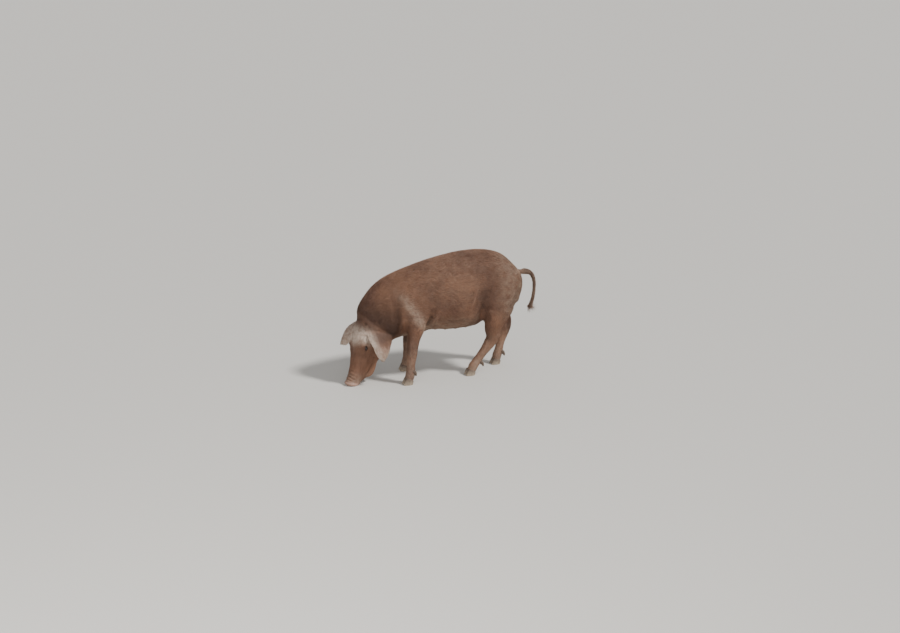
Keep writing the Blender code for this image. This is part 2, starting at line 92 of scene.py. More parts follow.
def body_copy(names, title):
    """One mesh of the named solids, with their loose triangles welded."""
    bpy.ops.object.select_all(action="DESELECT")
    for name in names:
        twin = frame["nodes"][name].copy()
        twin.data = twin.data.copy()
        twin.parent = None
        bpy.context.scene.collection.objects.link(twin)
        twin.select_set(True)
        bpy.context.view_layer.objects.active = twin
    bpy.ops.object.join()
    whole = bpy.context.object
    whole.name = whole.data.name = title
    for mark in list(whole.keys()):
        del whole[mark]
    bpy.ops.object.mode_set(mode="EDIT")
    bpy.ops.mesh.select_all(action="SELECT")
    bpy.ops.mesh.remove_doubles(threshold=0.00001)
    bpy.ops.object.mode_set(mode="OBJECT")
    return whole


ear_flaps = body_copy(EARS, "ear_flaps")
finish_with(ear_flaps, "DISPLACE", strength=EAR_PADDING, mid_level=0.0)
skin = body_copy([name for name in FLESH if name not in EARS] + list(EYES), "skin")
finish_with(skin, "DISPLACE", strength=SWELL, mid_level=0.0)
ear_flaps.select_set(True)
bpy.ops.object.join()
finish_with(skin, "REMESH", mode="VOXEL", voxel_size=SKIN_GRAIN)


def keep_outermost(piece):
    """Removes the bubbles that are shut in where an ear joins the head."""
    wake(piece)
    mesh = bmesh.new()
    mesh.from_mesh(piece.data)
    for vert in mesh.verts:
        vert.select_set(False)
    max(mesh.verts, key=lambda vert: vert.co.z).select_set(True)
    mesh.to_mesh(piece.data)
    mesh.free()
    bpy.ops.object.mode_set(mode="EDIT")
    bpy.ops.mesh.select_mode(type="VERT")
    bpy.ops.mesh.select_linked()
    bpy.ops.mesh.select_all(action="INVERT")
    bpy.ops.mesh.delete(type="VERT")
    bpy.ops.object.mode_set(mode="OBJECT")


keep_outermost(skin)


def finer_round(piece, centre, reach):
    """Halves the skin's faces within reach of a place, so that small forms can be shaped."""
    mesh = bmesh.new()
    mesh.from_mesh(piece.data)
    chosen = [
        edge
        for edge in mesh.edges
        if all((vert.co - centre).length_squared < reach**2 for vert in edge.verts)
    ]
    bmesh.ops.subdivide_edges(mesh, edges=chosen, cuts=1, use_grid_fill=True)
    mesh.to_mesh(piece.data)
    mesh.free()


for name in EYES:
    low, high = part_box(name)
    for reach in (0.030, 0.023):
        finer_round(skin, (low + high) / 2, reach)


def points_of(mesh, what="vertices", name="co", width=3):
    """A mesh's numbers as an array with one row for each element."""
    items = getattr(mesh, what)
    found = np.empty(len(items) * width, np.float32)
    items.foreach_get(name, found)
    return found.reshape(-1, width).astype(float)


def normals_of(mesh):
    """The way that the surface faces at each point of a mesh."""
    found = np.empty(len(mesh.vertices) * 3, np.float32)
    mesh.vertex_normals.foreach_get("vector", found)
    return found.reshape(-1, 3).astype(float)


def put_back(mesh, points):
    """Moves a mesh's points to new places."""
    mesh.vertices.foreach_set("co", points.astype(np.float32).ravel())
    mesh.update()


def relaxed(mesh, values, rounds, strength=0.5):
    """Values on a mesh's points, each drawn towards the mean of its neighbours."""
    pairs = np.empty(len(mesh.edges) * 2, np.int32)
    mesh.edges.foreach_get("vertices", pairs)
    a, b = pairs[0::2], pairs[1::2]
    count = len(mesh.vertices)
    links = np.maximum(np.bincount(a, minlength=count) + np.bincount(b, minlength=count), 1)
    values = np.array(values, float)
    flat = values.ndim == 1
    columns = values.reshape(count, -1)
    strength = np.broadcast_to(np.asarray(strength, float), (count,))
    for _ in range(rounds):
        for k in range(columns.shape[1]):
            row = columns[:, k]
            mean = (
                np.bincount(a, row[b], minlength=count) + np.bincount(b, row[a], minlength=count)
            ) / links
            columns[:, k] = row + strength * (mean - row)
    return columns[:, 0] if flat else columns


# Which part of the animal each point of the skin belongs to, with soft borders between them.
REGIONS = {
    "head": ("head",),
    "snout": ("snout",),
    "ears": EARS,
    "eyes": EYES,
    "neck": ("neck",),
    "trunk": ("trunk", "shoulder_left", "shoulder_right", "ham_left", "ham_right"),
    "legs": ("foreleg_left", "foreleg_right", "hindleg_left", "hindleg_right"),
    "feet": ("forefoot_left", "forefoot_right", "hindfoot_left", "hindfoot_right"),
    "tail": ("tail", "tail_tip"),
}


def parted_tree(regions):
    """A search tree of the flesh of some regions, and the region that each face lies in."""
    corners, faces, home = [], [], []
    for place, region in enumerate(REGIONS):
        for name in REGIONS[region] if region in regions else ():
            solid = frame["nodes"][name].data
            start = len(corners)
            corners.extend(v.co.copy() for v in solid.vertices)
            faces.extend([start + k for k in face.vertices] for face in solid.polygons)
            home.extend([place] * len(solid.polygons))
    return BVHTree.FromPolygons(corners, faces), home


flesh_tree, flesh_home = parted_tree(REGIONS)
earless_tree, _ = parted_tree([name for name in REGIONS if name not in ("ears", "eyes", "tail")])


def region_weights(mesh, rounds):
    """For each region, how much each point belongs to it, from 0 to 1."""
    points = points_of(mesh)
    owner = np.array([flesh_home[flesh_tree.find_nearest(p)[2]] for p in points])
    weights = np.eye(len(REGIONS))[owner]
    return dict(zip(REGIONS, relaxed(mesh, weights, rounds).T))


part = region_weights(skin.data, 12)


def sunk_below_flesh(points):
    """How far each point lies inside the modelled flesh, and less than 0 outside it."""
    found = np.empty(len(points))
    for k, point in enumerate(points):
        spot, normal, _, distance = flesh_tree.find_nearest(Vector(point))
        found[k] = distance if (spot - Vector(point)).dot(normal) > 0 else -distance
    return found


# The modelled masses show as faint facets, which are worn away: hard on the broad trunk, and
# less on what is thin. The head flows into the neck and the ears, so those borders are worn
# more, the ears' tips are worn round, and the tail is spared where it leaves the rump. What
# the wear has taken off all round a limb is then given back, so that it keeps its girth.
WEAR = {
    "head": 0.22, "snout": 0.10, "ears": 0.06, "eyes": 0.10, "neck": 0.75,
    "trunk": 1.0, "legs": 0.22, "feet": 0.12, "tail": 0.05,
}
WEAR_ROUNDS = 110
EAR_TIP_REACH = 0.016
EAR_TIP_WEAR = 0.30
TAIL_ROOT_REACH = 0.026
TAIL_ROOT_WEAR = 0.10
GIRTH_ROUNDS = (40, 20)
LEAST_GIVEN_BACK, MOST_GIVEN_BACK = -0.001, 0.003
wear = sum(part[name] * share for name, share in WEAR.items())
ear_root = 4 * part["ears"] * (part["head"] + part["neck"])
nape = 4 * part["head"] * part["neck"]
wear = np.clip(wear + 0.5 * ear_root + 0.8 * nape, 0, 1)
for name in EARS:
    lowest = min((vert.co for vert in frame["nodes"][name].data.vertices), key=lambda co: co.z)
    from_tip = np.linalg.norm(points_of(skin.data) - np.array(lowest), axis=1)
    wear = np.where(from_tip < EAR_TIP_REACH, np.maximum(wear, EAR_TIP_WEAR), wear)
tail_root = np.array([vert.co for vert in frame["nodes"]["tail"].data.vertices])
tail_root = tail_root[tail_root[:, 0] < tail_root[:, 0].min() + 0.001].mean(0)
away = np.linalg.norm(points_of(skin.data) - tail_root, axis=1)
spared = TAIL_ROOT_WEAR + (1 - TAIL_ROOT_WEAR) * (away / TAIL_ROOT_REACH) ** 4
wear = np.where(away < TAIL_ROOT_REACH, np.minimum(wear, spared), wear)
put_back(skin.data, relaxed(skin.data, points_of(skin.data), WEAR_ROUNDS, 0.5 * wear))
for rounds in GIRTH_ROUNDS:
    lost = relaxed(skin.data, sunk_below_flesh(points_of(skin.data)), rounds)
    lost = np.clip(lost, LEAST_GIVEN_BACK, MOST_GIVEN_BACK)
    put_back(skin.data, points_of(skin.data) + normals_of(skin.data) * lost[:, None])

# The coat stands on the skin, so the skin lies inside the solids by the coat's depth. It is
# thinnest on the face, the ears and the feet, and bare on the snout and the lids. Only the
# slender tail, which the wear has thinned, is drawn out a little.
COAT_DEPTH = {
    "head": 0.0014, "snout": 0.0, "ears": 0.0010, "eyes": 0.0, "neck": 0.0034,
    "trunk": 0.0030, "legs": 0.0016, "feet": 0.0006, "tail": -0.0012,
}
coat_depth = sum(part[name] * depth for name, depth in COAT_DEPTH.items())
put_back(skin.data, points_of(skin.data) - normals_of(skin.data) * coat_depth[:, None])


# ------------------------------------------------------------------ the hog's landmarks
# Places on the body are told from the solids' own boxes: on the trunk and the limbs by shares
# of a box, and on the head by distances from the line through the eyes, to nose and to brow.
def middle(name):
    """The middle of a solid's own box."""
    low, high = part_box(name)
    return (low + high) / 2


EYE_RADIUS = (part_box("eye_left")[1].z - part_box("eye_left")[0].z) / 2
eye_line = (middle("eye_left") + middle("eye_right")) / 2
to_left = (middle("eye_left") - middle("eye_right")).normalized()
to_nose = middle("snout") - eye_line
to_nose = (to_nose - to_left * to_nose.dot(to_left)).normalized()
to_brow = to_left.cross(to_nose)
to_brow = to_brow if to_brow.x < 0 else -to_brow


def on_head(nose, brow, left):
    """A place on the head, in metres from the middle of the eye line."""
    return eye_line + to_nose * nose + to_brow * brow + to_left * left


def stroke(points, normals, path, width, depth, reach=3.0):
    """Presses a soft groove (or with a negative depth raises a ridge) along a path in the skin."""
    path = np.array([tuple(p) for p in path], float)
    low, high = path.min(0) - width * reach, path.max(0) + width * reach
    near = np.flatnonzero(((points > low) & (points < high)).all(1))
    if not len(near):
        return
    spots = points[near]
    best = np.full(len(near), np.inf)
    for start, end in zip(path[:-1], path[1:]):
        run = end - start
        t = np.clip(((spots - start) @ run) / (run @ run), 0, 1)
        best = np.minimum(best, np.linalg.norm(spots - (start + t[:, None] * run), axis=1))
    ends = np.minimum(
        np.linalg.norm(spots - path[0], axis=1), np.linalg.norm(spots - path[-1], axis=1)
    )
    length = np.linalg.norm(np.diff(path, axis=0), axis=1).sum()
    fade = np.clip(ends / (0.25 * length + 1e-6), 0.15, 1)
    press = depth * fade * np.exp(-((best / width) ** 2))
    points[near] -= normals[near] * press[:, None]


def on_side(part_name, along, up, side):
    """A place on one side of the body, by shares of a solid's length and height."""
    low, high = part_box(part_name)
    start = Vector((
        low.x + (high.x - low.x) * along,
        side * 0.3,
        low.z + (high.z - low.z) * up,
    ))
    found = earless_tree.ray_cast(start, Vector((0, -side, 0)))[0]
    return found if found else start


def side_stroke(points, normals, solid, side, path, width, depth):
    """A groove or a ridge on one side of a solid, along a path of shares of its box."""
    spots = [on_side(solid, along, up, side) for along, up in path]
    stroke(points, normals, spots, width, depth)


def on_cheek(nose, brow, side):
    """A place on one side of the head, by its distances from the eye line."""
    found = earless_tree.ray_cast(on_head(nose, brow, side * 0.15), -to_left * side)[0]
    return found if found else on_head(nose, brow, 0)


def over_bridge(nose, spread, side_drop):
    """A path across the top of the nose, from one side to the other."""
    path = []
    for k in range(9):
        turn = math.radians(-90 + 180 * k / 8) * spread
        away = to_left * math.sin(turn) + to_brow * math.cos(turn)
        core = on_head(nose + side_drop * abs(math.sin(turn)), -0.008, 0)
        path.append(earless_tree.ray_cast(core + away * 0.2, -away)[0] or core)
    return path


# ------------------------------------------------------------------ folds and muscle of the body
# Where skin is slack it hangs in folds: at the flank, behind the elbow, in front of the
# shoulder and under the throat. The muscles and tendons under it show as broad soft forms.
points, normals = points_of(skin.data), normals_of(skin.data)
for side in (-1, 1):
    trunk_strokes = (
        # the hollow in front of the thigh, the groove low in it, and the folds before it
        (((0.70, 0.70), (0.665, 0.55), (0.635, 0.40), (0.622, 0.27), (0.625, 0.17)), 0.032, 0.0080),
        (((0.650, 0.46), (0.640, 0.34), (0.636, 0.22), (0.640, 0.12)), 0.020, 0.0065),
        (((0.625, 0.50), (0.585, 0.34), (0.53, 0.21), (0.47, 0.14)), 0.015, -0.0060),
        (((0.585, 0.66), (0.555, 0.48), (0.515, 0.31)), 0.011, -0.0026),
        (((0.555, 0.62), (0.525, 0.46), (0.49, 0.30)), 0.012, 0.0026),
        (((0.50, 0.60), (0.475, 0.44), (0.44, 0.30)), 0.012, -0.0016),
        # the edge of the ribs above the belly
        (((0.27, 0.20), (0.36, 0.245), (0.46, 0.235), (0.54, 0.20)), 0.014, 0.0032),
        # the shoulder blade's rear edge and its spine, and the slack behind the elbow
        (((0.225, 0.76), (0.262, 0.58), (0.258, 0.42), (0.225, 0.27)), 0.022, 0.0060),
        (((0.130, 0.74), (0.105, 0.56), (0.070, 0.38)), 0.020, -0.0045),
        (((0.250, 0.34), (0.232, 0.24), (0.200, 0.15)), 0.014, 0.0125),
        (((0.285, 0.36), (0.270, 0.25), (0.240, 0.15)), 0.010, -0.0030),
        # the long muscle of the upper arm, from the shoulder's point back to the elbow
        (((0.015, 0.50), (0.075, 0.39), (0.132, 0.26)), 0.017, -0.0045),
        # the furrow between neck and shoulder
        (((0.030, 0.70), (-0.005, 0.50), (-0.015, 0.32), (0.010, 0.18)), 0.020, 0.0065),
        # the two muscles at the back of the ham
        (((0.915, 0.66), (0.890, 0.50), (0.850, 0.34), (0.820, 0.22)), 0.016, 0.0036),
    )
    for path, width, depth in trunk_strokes:
        side_stroke(points, normals, "trunk", side, path, width, depth)
    neck_strokes = (
        (((0.52, 0.72), (0.56, 0.46), (0.62, 0.22), (0.70, 0.05)), 0.014, 0.0018),
        (((0.74, 0.84), (0.79, 0.54), (0.84, 0.28), (0.90, 0.04)), 0.012, 0.0034),
        (((0.66, 0.70), (0.70, 0.46), (0.75, 0.22)), 0.014, -0.0016),
        (((0.36, 0.52), (0.42, 0.32), (0.50, 0.12)), 0.010, 0.0026),
    )
    for path, width, depth in neck_strokes:
        side_stroke(points, normals, "neck", side, path, width, depth)

# two rows of small teats along the belly, drawing together towards the groin
TEATS = 6
TEAT_ROW = 0.036
FIRST_TEAT, TEAT_RUN = 0.22, 0.40
TEAT_WIDTH, TEAT_HEIGHT = 0.0038, 0.0080
UDDER_WIDTH, UDDER_HEIGHT = 0.0100, 0.0024
low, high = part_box("trunk")
for row in (-1, 1):
    for k in range(TEATS):
        x = low.x + (high.x - low.x) * (FIRST_TEAT + TEAT_RUN * k / (TEATS - 1))
        y = row * TEAT_ROW * (1.0 - 0.06 * k)
        spot = earless_tree.ray_cast(Vector((x, y, 0.1)), Vector((0, 0, 1)))[0]
        ahead = spot + Vector((0.001, 0, 0))
        stroke(points, normals, (spot, ahead), TEAT_WIDTH, -TEAT_HEIGHT)
        stroke(points, normals, (spot, ahead), UDDER_WIDTH, -UDDER_HEIGHT)

# the rump's corners, seen from above, are round
RUMP_CORNER = 0.105
CORNER_HEIGHTS = (0.51, 0.47, 0.42, 0.36)
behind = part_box("trunk")[1].x + 0.1


def on_rump(y, z):
    """A place on the rump, looked for from behind."""
    return earless_tree.ray_cast(Vector((behind, y, z)), Vector((-1, 0, 0)))[0]


for y in (-RUMP_CORNER, RUMP_CORNER):
    corner = [on_rump(y, z) for z in CORNER_HEIGHTS]
    stroke(points, normals, corner, 0.034, 0.0120, 2.0)

# the cleft below the tail's root, between two low folds
tail_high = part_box("tail")[1]
for y, width, depth in ((0.0, 0.0060, 0.0052), (-0.012, 0.0070, -0.0030), (0.012, 0.0070, -0.0030)):
    cleft = [on_rump(y, tail_high.z - drop) for drop in (0.030, 0.050, 0.070, 0.090)]
    stroke(points, normals, cleft, width, depth)

RING_WIDTH = 0.0032
for side, which in ((-1, "left"), (1, "right")):
    fore, hind = f"foreleg_{which}", f"hindleg_{which}"
    forefoot, hindfoot = f"forefoot_{which}", f"hindfoot_{which}"
    limb_strokes = (
        (fore, ((0.10, 0.98), (0.45, 0.93), (0.75, 0.97)), 0.0042, 0.0016),
        (fore, ((0.14, 0.90), (0.45, 0.85), (0.70, 0.88)), 0.0042, 0.0016),
        (fore, ((0.20, 0.82), (0.45, 0.77), (0.64, 0.79)), 0.0040, 0.0012),
        (fore, ((0.62, 0.72), (0.55, 0.46), (0.50, 0.20)), 0.0080, 0.0030),
        (hind, ((0.72, 0.86), (0.62, 0.52), (0.50, 0.22)), 0.0110, 0.0050),
        (hind, ((0.20, 0.98), (0.30, 0.80), (0.36, 0.60)), 0.0120, -0.0030),
    )
    for solid, path, width, depth in limb_strokes:
        side_stroke(points, normals, solid, side, path, width, depth)
    # rings of slack skin at the knee, the hock and above the dewclaws
    rings = (
        (forefoot, 0.96, 0.0014), (forefoot, 0.88, 0.0012), (forefoot, 0.40, 0.0012),
        (forefoot, 0.33, 0.0010), (hindfoot, 0.86, 0.0010), (hindfoot, 0.36, 0.0012),
        (hindfoot, 0.29, 0.0010),
    )
    for solid, up, depth in rings:
        low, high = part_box(solid)
        height = low.z + (high.z - low.z) * up
        near = np.flatnonzero(
            (np.abs(points[:, 2] - height) < 0.015)
            & (points[:, 0] > low.x - 0.01) & (points[:, 0] < high.x + 0.01)
            & (points[:, 1] > low.y - 0.01) & (points[:, 1] < high.y + 0.01)
        )
        along = points[near, 0]
        wander = height + 0.002 * np.sin(along * 160) - 0.10 * (along - (low.x + high.x) / 2)
        press = depth * np.exp(-((points[near, 2] - wander) / RING_WIDTH) ** 2)
        points[near] -= normals[near] * press[:, None]
put_back(skin.data, points)

# ------------------------------------------------------------------ the face
# The snout is a tough disc on a wrinkled bridge, over a long mouth whose corner turns up. The
# cheek is a heavy chewing muscle, and the brow is creased between the eyes.
points, normals = points_of(skin.data), normals_of(skin.data)
MOUTH = (
    (0.176, -0.022), (0.158, -0.030), (0.122, -0.045),
    (0.084, -0.057), (0.058, -0.060), (0.047, -0.054),
)
BELOW_MOUTH, ABOVE_MOUTH = -0.009, 0.010
for side in (-1, 1):
    lower_lip = [(nose, brow + BELOW_MOUTH) for nose, brow in MOUTH[:5]]
    upper_lip = [(nose, brow + ABOVE_MOUTH) for nose, brow in MOUTH[:5]]
    face_strokes = (
        (MOUTH, 0.0030, 0.0044),
        (lower_lip, 0.0050, -0.0022),
        (upper_lip, 0.0065, -0.0020),
        # creases at the mouth's corner and on the jowl
        (((0.052, -0.060), (0.040, -0.046), (0.036, -0.032)), 0.0050, 0.0022),
        (((0.064, -0.064), (0.050, -0.074), (0.040, -0.086)), 0.0060, 0.0022),
        # the cheekbone, and the hollow under it
        (((0.020, -0.024), (0.055, -0.018), (0.095, -0.012)), 0.0110, -0.0034),
        (((0.020, -0.040), (0.045, -0.034), (0.085, -0.030)), 0.0100, 0.0026),
        # the front and rear edges of the chewing muscle
        (((0.000, -0.044), (0.024, -0.066), (0.028, -0.094)), 0.0120, 0.0040),
        (((-0.036, -0.030), (-0.040, -0.066), (-0.026, -0.104)), 0.0140, 0.0040),
        # creases that run from the eye's corners
        (((0.024, -0.010), (0.040, 0.002), (0.062, 0.006)), 0.0045, 0.0016),
        (((0.020, -0.020), (0.034, -0.012), (0.052, -0.008)), 0.0040, 0.0014),
        (((-0.022, 0.004), (-0.034, -0.004), (-0.050, -0.006)), 0.0045, 0.0014),
    )
    for path, width, depth in face_strokes:
        spots = [on_cheek(nose, brow, side) for nose, brow in path]
        stroke(points, normals, spots, width, depth)
# the wrinkles across the bridge of the snout, each with a roll of skin in front of it
WRINKLES = ((0.104, 0.0010), (0.122, 0.0014), (0.138, 0.0018), (0.152, 0.0020), (0.165, 0.0020))
WRINKLE_WIDTH = 0.0034
ROLL_AHEAD = 0.0068
ROLL_SHARE = 0.6
for nose, depth in WRINKLES:
    stroke(points, normals, over_bridge(nose, 0.80, 0.010), WRINKLE_WIDTH, depth)
    roll = over_bridge(nose + ROLL_AHEAD, 0.76, 0.010)
    stroke(points, normals, roll, WRINKLE_WIDTH, -ROLL_SHARE * depth)
# the rim that stands out round the snout's disc
stroke(points, normals, over_bridge(0.178, 1.0, 0.0), 0.0030, 0.0022)
stroke(points, normals, over_bridge(0.186, 1.0, 0.0), 0.0034, -0.0016)
# the dip behind the poll, where the crest of the neck comes down to the skull
stroke(points, normals, over_bridge(-0.112, 0.66, 0.0), 0.0170, -0.0120)
stroke(points, normals, over_bridge(-0.146, 0.66, 0.0), 0.0140, 0.0030)
# frown lines, and the hollow of the forehead between the brows
for left in (-0.013, 0.0, 0.013):
    spots = [
        earless_tree.ray_cast(on_head(nose, 0.10, left * (1 + 8 * nose)), -to_brow)[0]
        for nose in (-0.040, -0.020, 0.002)
    ]
    stroke(points, normals, spots, 0.0042, 0.0016)
put_back(skin.data, points)

# ------------------------------------------------------------------ lids
# Each eye looks out, a little forward and up, through a narrow almond between two thick lids.
# The skin is laid over the ball, raised along the lids' edges, and drawn in behind the ball
# inside the almond, so that it parts cleanly round the wet eye.
LID_SPAN = 0.0096
LID_GAP = 0.0052
LOWER_GAP = 0.70
LID_THICKNESS = 0.0015
LID_EDGE = 0.0008
LID_SLANT = 0.16
BEHIND_BALL = 0.0034
BALL_SHARE = 0.975
FOLD_ABOVE, FOLD_DEPTH = 0.0088, 0.0013
BAG_BELOW, BAG_DEPTH = 0.0076, 0.0008
CREASE_WIDTH = 0.0013


def eye_frame(name, side):
    """Where an eye looks, its length towards the nose, and the way to its upper lid."""
    looks = (to_left * side * 0.92 + to_nose * 0.16 + to_brow * 0.34).normalized()
    along = (to_nose - looks * to_nose.dot(looks)).normalized()
    upward = looks.cross(along)
    return looks, along, upward if upward.dot(to_brow) > 0 else -upward


def almond_at(away, along, upward):
    """How far out of the lids' almond each direction from the eye is: 1 is its edge."""
    ways = away / np.linalg.norm(away, axis=1)[:, None] * EYE_RADIUS
    a, b = ways @ np.array(along), ways @ np.array(upward)
    slant = b + LID_SLANT * a
    gape = np.where(slant > 0, LID_GAP, LOWER_GAP * LID_GAP)
    return (np.abs(a) / LID_SPAN) ** 1.7 + (np.abs(slant) / gape) ** 2, a, slant


eyes = {name: eye_frame(name, side) for side, name in ((1, "eye_left"), (-1, "eye_right"))}
points = points_of(skin.data)
for name, (looks, along, upward) in eyes.items():
    away = points - np.array(middle(name))
    near = np.flatnonzero(np.linalg.norm(away, axis=1) < EYE_RADIUS * 2.4)
    away = away[near]
    distance = np.linalg.norm(away, axis=1)
    facing = away @ np.array(looks) / distance
    almond, a, slant = almond_at(away, along, upward)
    lid = EYE_RADIUS * BALL_SHARE + LID_THICKNESS + LID_EDGE * np.exp(-(((almond - 1.5) / 0.5) ** 2))
    # the lids lie on the ball, and the skin beyond them meets the cheek and the brow
    hug = np.clip((facing - 0.45) / 0.35, 0, 1)
    hug = hug * hug * (3 - 2 * hug)
    radius = distance * (1 - hug) + lid * hug
    cover = np.clip((facing + 0.15) / 0.30, 0, 1)
    radius = np.where(radius < lid, radius + (lid - radius) * cover, radius)
    # a fold above the upper lid, and a bag below the lower
    above = np.exp(-(((slant - FOLD_ABOVE) / CREASE_WIDTH) ** 2))
    below = np.exp(-(((slant + BAG_BELOW) / CREASE_WIDTH) ** 2))
    radius -= FOLD_DEPTH * above * (np.abs(a) < 0.010)
    radius -= BAG_DEPTH * below * (np.abs(a) < 0.009)
    inside = np.clip((1.0 - almond) / 0.14, 0, 1) * (facing > 0)
    radius = radius * (1 - inside) + (EYE_RADIUS - BEHIND_BALL) * inside
    points[near] += away / distance[:, None] * (radius - distance)[:, None]
put_back(skin.data, points)
put_back(skin.data, relaxed(skin.data, points_of(skin.data), 1, 0.3))

# The nostrils, two short slanting pits in the snout's disc.
NOSTRIL_OUT, NOSTRIL_BROW = 0.0125, 0.004
NOSTRIL_RADIUS, NOSTRIL_DEPTH = 0.0052, 0.0100
points = points_of(skin.data)
from_disc = points - np.array(middle("snout"))
for side in (-1, 1):
    across = from_disc @ np.array(to_left) - side * NOSTRIL_OUT
    along_brow = from_disc @ np.array(to_brow) - NOSTRIL_BROW
    spread = np.hypot(across * 0.85, along_brow)
    pit = np.exp(-((spread / NOSTRIL_RADIUS) ** 4)) * (points[:, 2] < 0.006)
    points += np.outer(pit * NOSTRIL_DEPTH, -np.array(to_nose))
put_back(skin.data, points)

# The hide is then lightened to what its forms need, and laid on the floor at the snout.
SKIN_FACES = 190_000
OFF_FLOOR = 0.0004
finish_with(skin, "DECIMATE", ratio=SKIN_FACES / (2 * len(skin.data.polygons)))
points = points_of(skin.data)
points[:, 2] = np.maximum(points[:, 2], OFF_FLOOR)
put_back(skin.data, points)
wake(skin)
bpy.ops.object.shade_smooth()


# ------------------------------------------------------------------ colours of the hide
# A dark red hog: mahogany skin and bristle, with painted shade in the folds and hollows, a pale brow and
# pale ears that carry painted highlight in part, light dust on the ribs and the shanks, painted highlight
# on the rump and the upper arm, painted bounce light on the belly, and dried mud on the snout and the lower
# legs.
def linear(code):
    """A colour written as an sRGB hex value, as Blender's linear numbers."""
    parts = [int(code[k : k + 2], 16) / 255 for k in (1, 3, 5)]
    return [c / 12.92 if c <= 0.04045 else ((c + 0.055) / 1.055) ** 2.4 for c in parts] + [1.0]


def add_node(material, kind, settings=None, **links):
    """A node with its settings, and its inputs set or linked: name=value or name=socket."""
    node = material.node_tree.nodes.new(kind)
    for name, value in (settings or {}).items():
        setattr(node, name, value)
    for name, value in links.items():
        key = int(name[1:]) if name[0] == "_" else name.replace("_", " ")
        if isinstance(value, bpy.types.NodeSocket):
            material.node_tree.links.new(value, node.inputs[key])
        else:
            node.inputs[key].default_value = value
    return node


def new_material(name):
    made = bpy.data.materials.new(name)
    made.use_nodes = True
    return made, made.node_tree.nodes["Principled BSDF"]


def blend_colours(material, share, first, second, how="MIX"):
    mix = add_node(material, "ShaderNodeMix", {"data_type": "RGBA", "blend_type": how},
                   Factor=share, _6=first, _7=second)
    return mix.outputs[2]


MAHOGANY = linear("#6E4C3C")
RUST = linear("#926A52")
# the tone of dust, also used for the painted highlight on the rump and the upper arm and the painted bounce
# light on the belly
DUST_AND_HIGHLIGHT = linear("#AE9783")
# the pale brow and ears, also used for painted highlight on the lit forehead, the ears' lit edges and the
# upper arm
PALE_BROW = linear("#CBB9A9")
SHADE = linear("#33241E")
DRY_MUD = linear("#95887A")
BARE_SKIN = linear("#A98778")
PATCHES_PER_METRE = 7.0
FLECKS_PER_METRE = 46.0


def painted(material, name):
    """The share of a marking at each place, as the mesh carries it."""
    return add_node(material, "ShaderNodeAttribute", {"attribute_name": name}).outputs["Fac"]


def broken_up(material, share, grain, gain, offset):
    """A marking's share, broken into patches by a grain."""
    cut = add_node(material, "ShaderNodeMath", {"operation": "MULTIPLY_ADD", "use_clamp": True},
                   _0=grain, _1=gain, _2=offset)
    kept = add_node(material, "ShaderNodeMath", {"operation": "MULTIPLY"}, _0=cut.outputs[0], _1=share)
    return kept.outputs[0]


def hide_colour(material):
    """The hog's markings, painted highlights and painted shade, for skin and coat alike, read from its
    place and the painted shares.
    """
    place = add_node(material, "ShaderNodeTexCoord").outputs["Object"]
    broad = add_node(material, "ShaderNodeTexNoise", Vector=place, Scale=PATCHES_PER_METRE,
                     Detail=3.0, Roughness=0.55)
    patch = add_node(material, "ShaderNodeMapRange", Value=broad.outputs["Fac"],
                     From_Min=0.36, From_Max=0.66)
    grain = add_node(material, "ShaderNodeTexNoise", Vector=place, Scale=FLECKS_PER_METRE,
                     Detail=4.0, Roughness=0.6).outputs["Fac"]
    colour = blend_colours(material, patch.outputs["Result"], MAHOGANY, RUST)
    # dust, with painted highlight on the rump and the upper arm and painted bounce light on the belly
    colour = blend_colours(material, broken_up(material, painted(material, "dust"), grain, 1.6, -0.35),
                           colour, DUST_AND_HIGHLIGHT)
    # pale brow and ears, partly painted highlight
    colour = blend_colours(material, broken_up(material, painted(material, "pale"), grain, 1.9, -0.10),
                           colour, PALE_BROW)
    # painted shade in folds and hollows, and the lids' dark rims
    colour = blend_colours(material, painted(material, "fold"), colour, SHADE)
    colour = blend_colours(material, broken_up(material, painted(material, "mud"), grain, 2.2, -0.65),
                           colour, DRY_MUD)
    return blend_colours(material, painted(material, "bare"), colour, BARE_SKIN), place


# Bristled pigskin: thick soft skin, matt with dust, pitted by pores and drawn into fine creases
# that run with the lie of the bristle: along the body, and down the legs and the face.
hide, shader = new_material("bristled_pigskin")
colour, place = hide_colour(hide)
PORES_PER_METRE = 420.0
CREASES_PER_METRE = 150.0
STREAKS_ALONG, STREAKS_ACROSS = 28.0, 330.0
LIE_SLOPE = -0.22
RELIEF_HEIGHT = 0.0011
along_body = add_node(hide, "ShaderNodeMapping", Vector=place,
                      Scale=(STREAKS_ALONG, STREAKS_ACROSS, STREAKS_ACROSS), Rotation=(0.0, LIE_SLOPE, 0.0))
down_leg = add_node(hide, "ShaderNodeMapping", Vector=place,
                    Scale=(STREAKS_ACROSS, STREAKS_ACROSS, STREAKS_ALONG))
level_hair = add_node(hide, "ShaderNodeTexNoise", Vector=along_body.outputs[0], Scale=1.0, Detail=2.0)
upright_hair = add_node(hide, "ShaderNodeTexNoise", Vector=down_leg.outputs[0], Scale=1.0, Detail=2.0)
hair = add_node(hide, "ShaderNodeMix", {"data_type": "FLOAT"}, _0=painted(hide, "upright"),
                _2=level_hair.outputs["Fac"], _3=upright_hair.outputs["Fac"]).outputs[0]
pores = add_node(hide, "ShaderNodeTexVoronoi", Vector=place, Scale=PORES_PER_METRE)
creases = add_node(hide, "ShaderNodeTexNoise", Vector=place, Scale=CREASES_PER_METRE,
                   Detail=4.0, Roughness=0.65)
relief = add_node(hide, "ShaderNodeMath", {"operation": "MULTIPLY_ADD"},
                  _0=pores.outputs["Distance"], _1=0.35, _2=creases.outputs["Fac"])
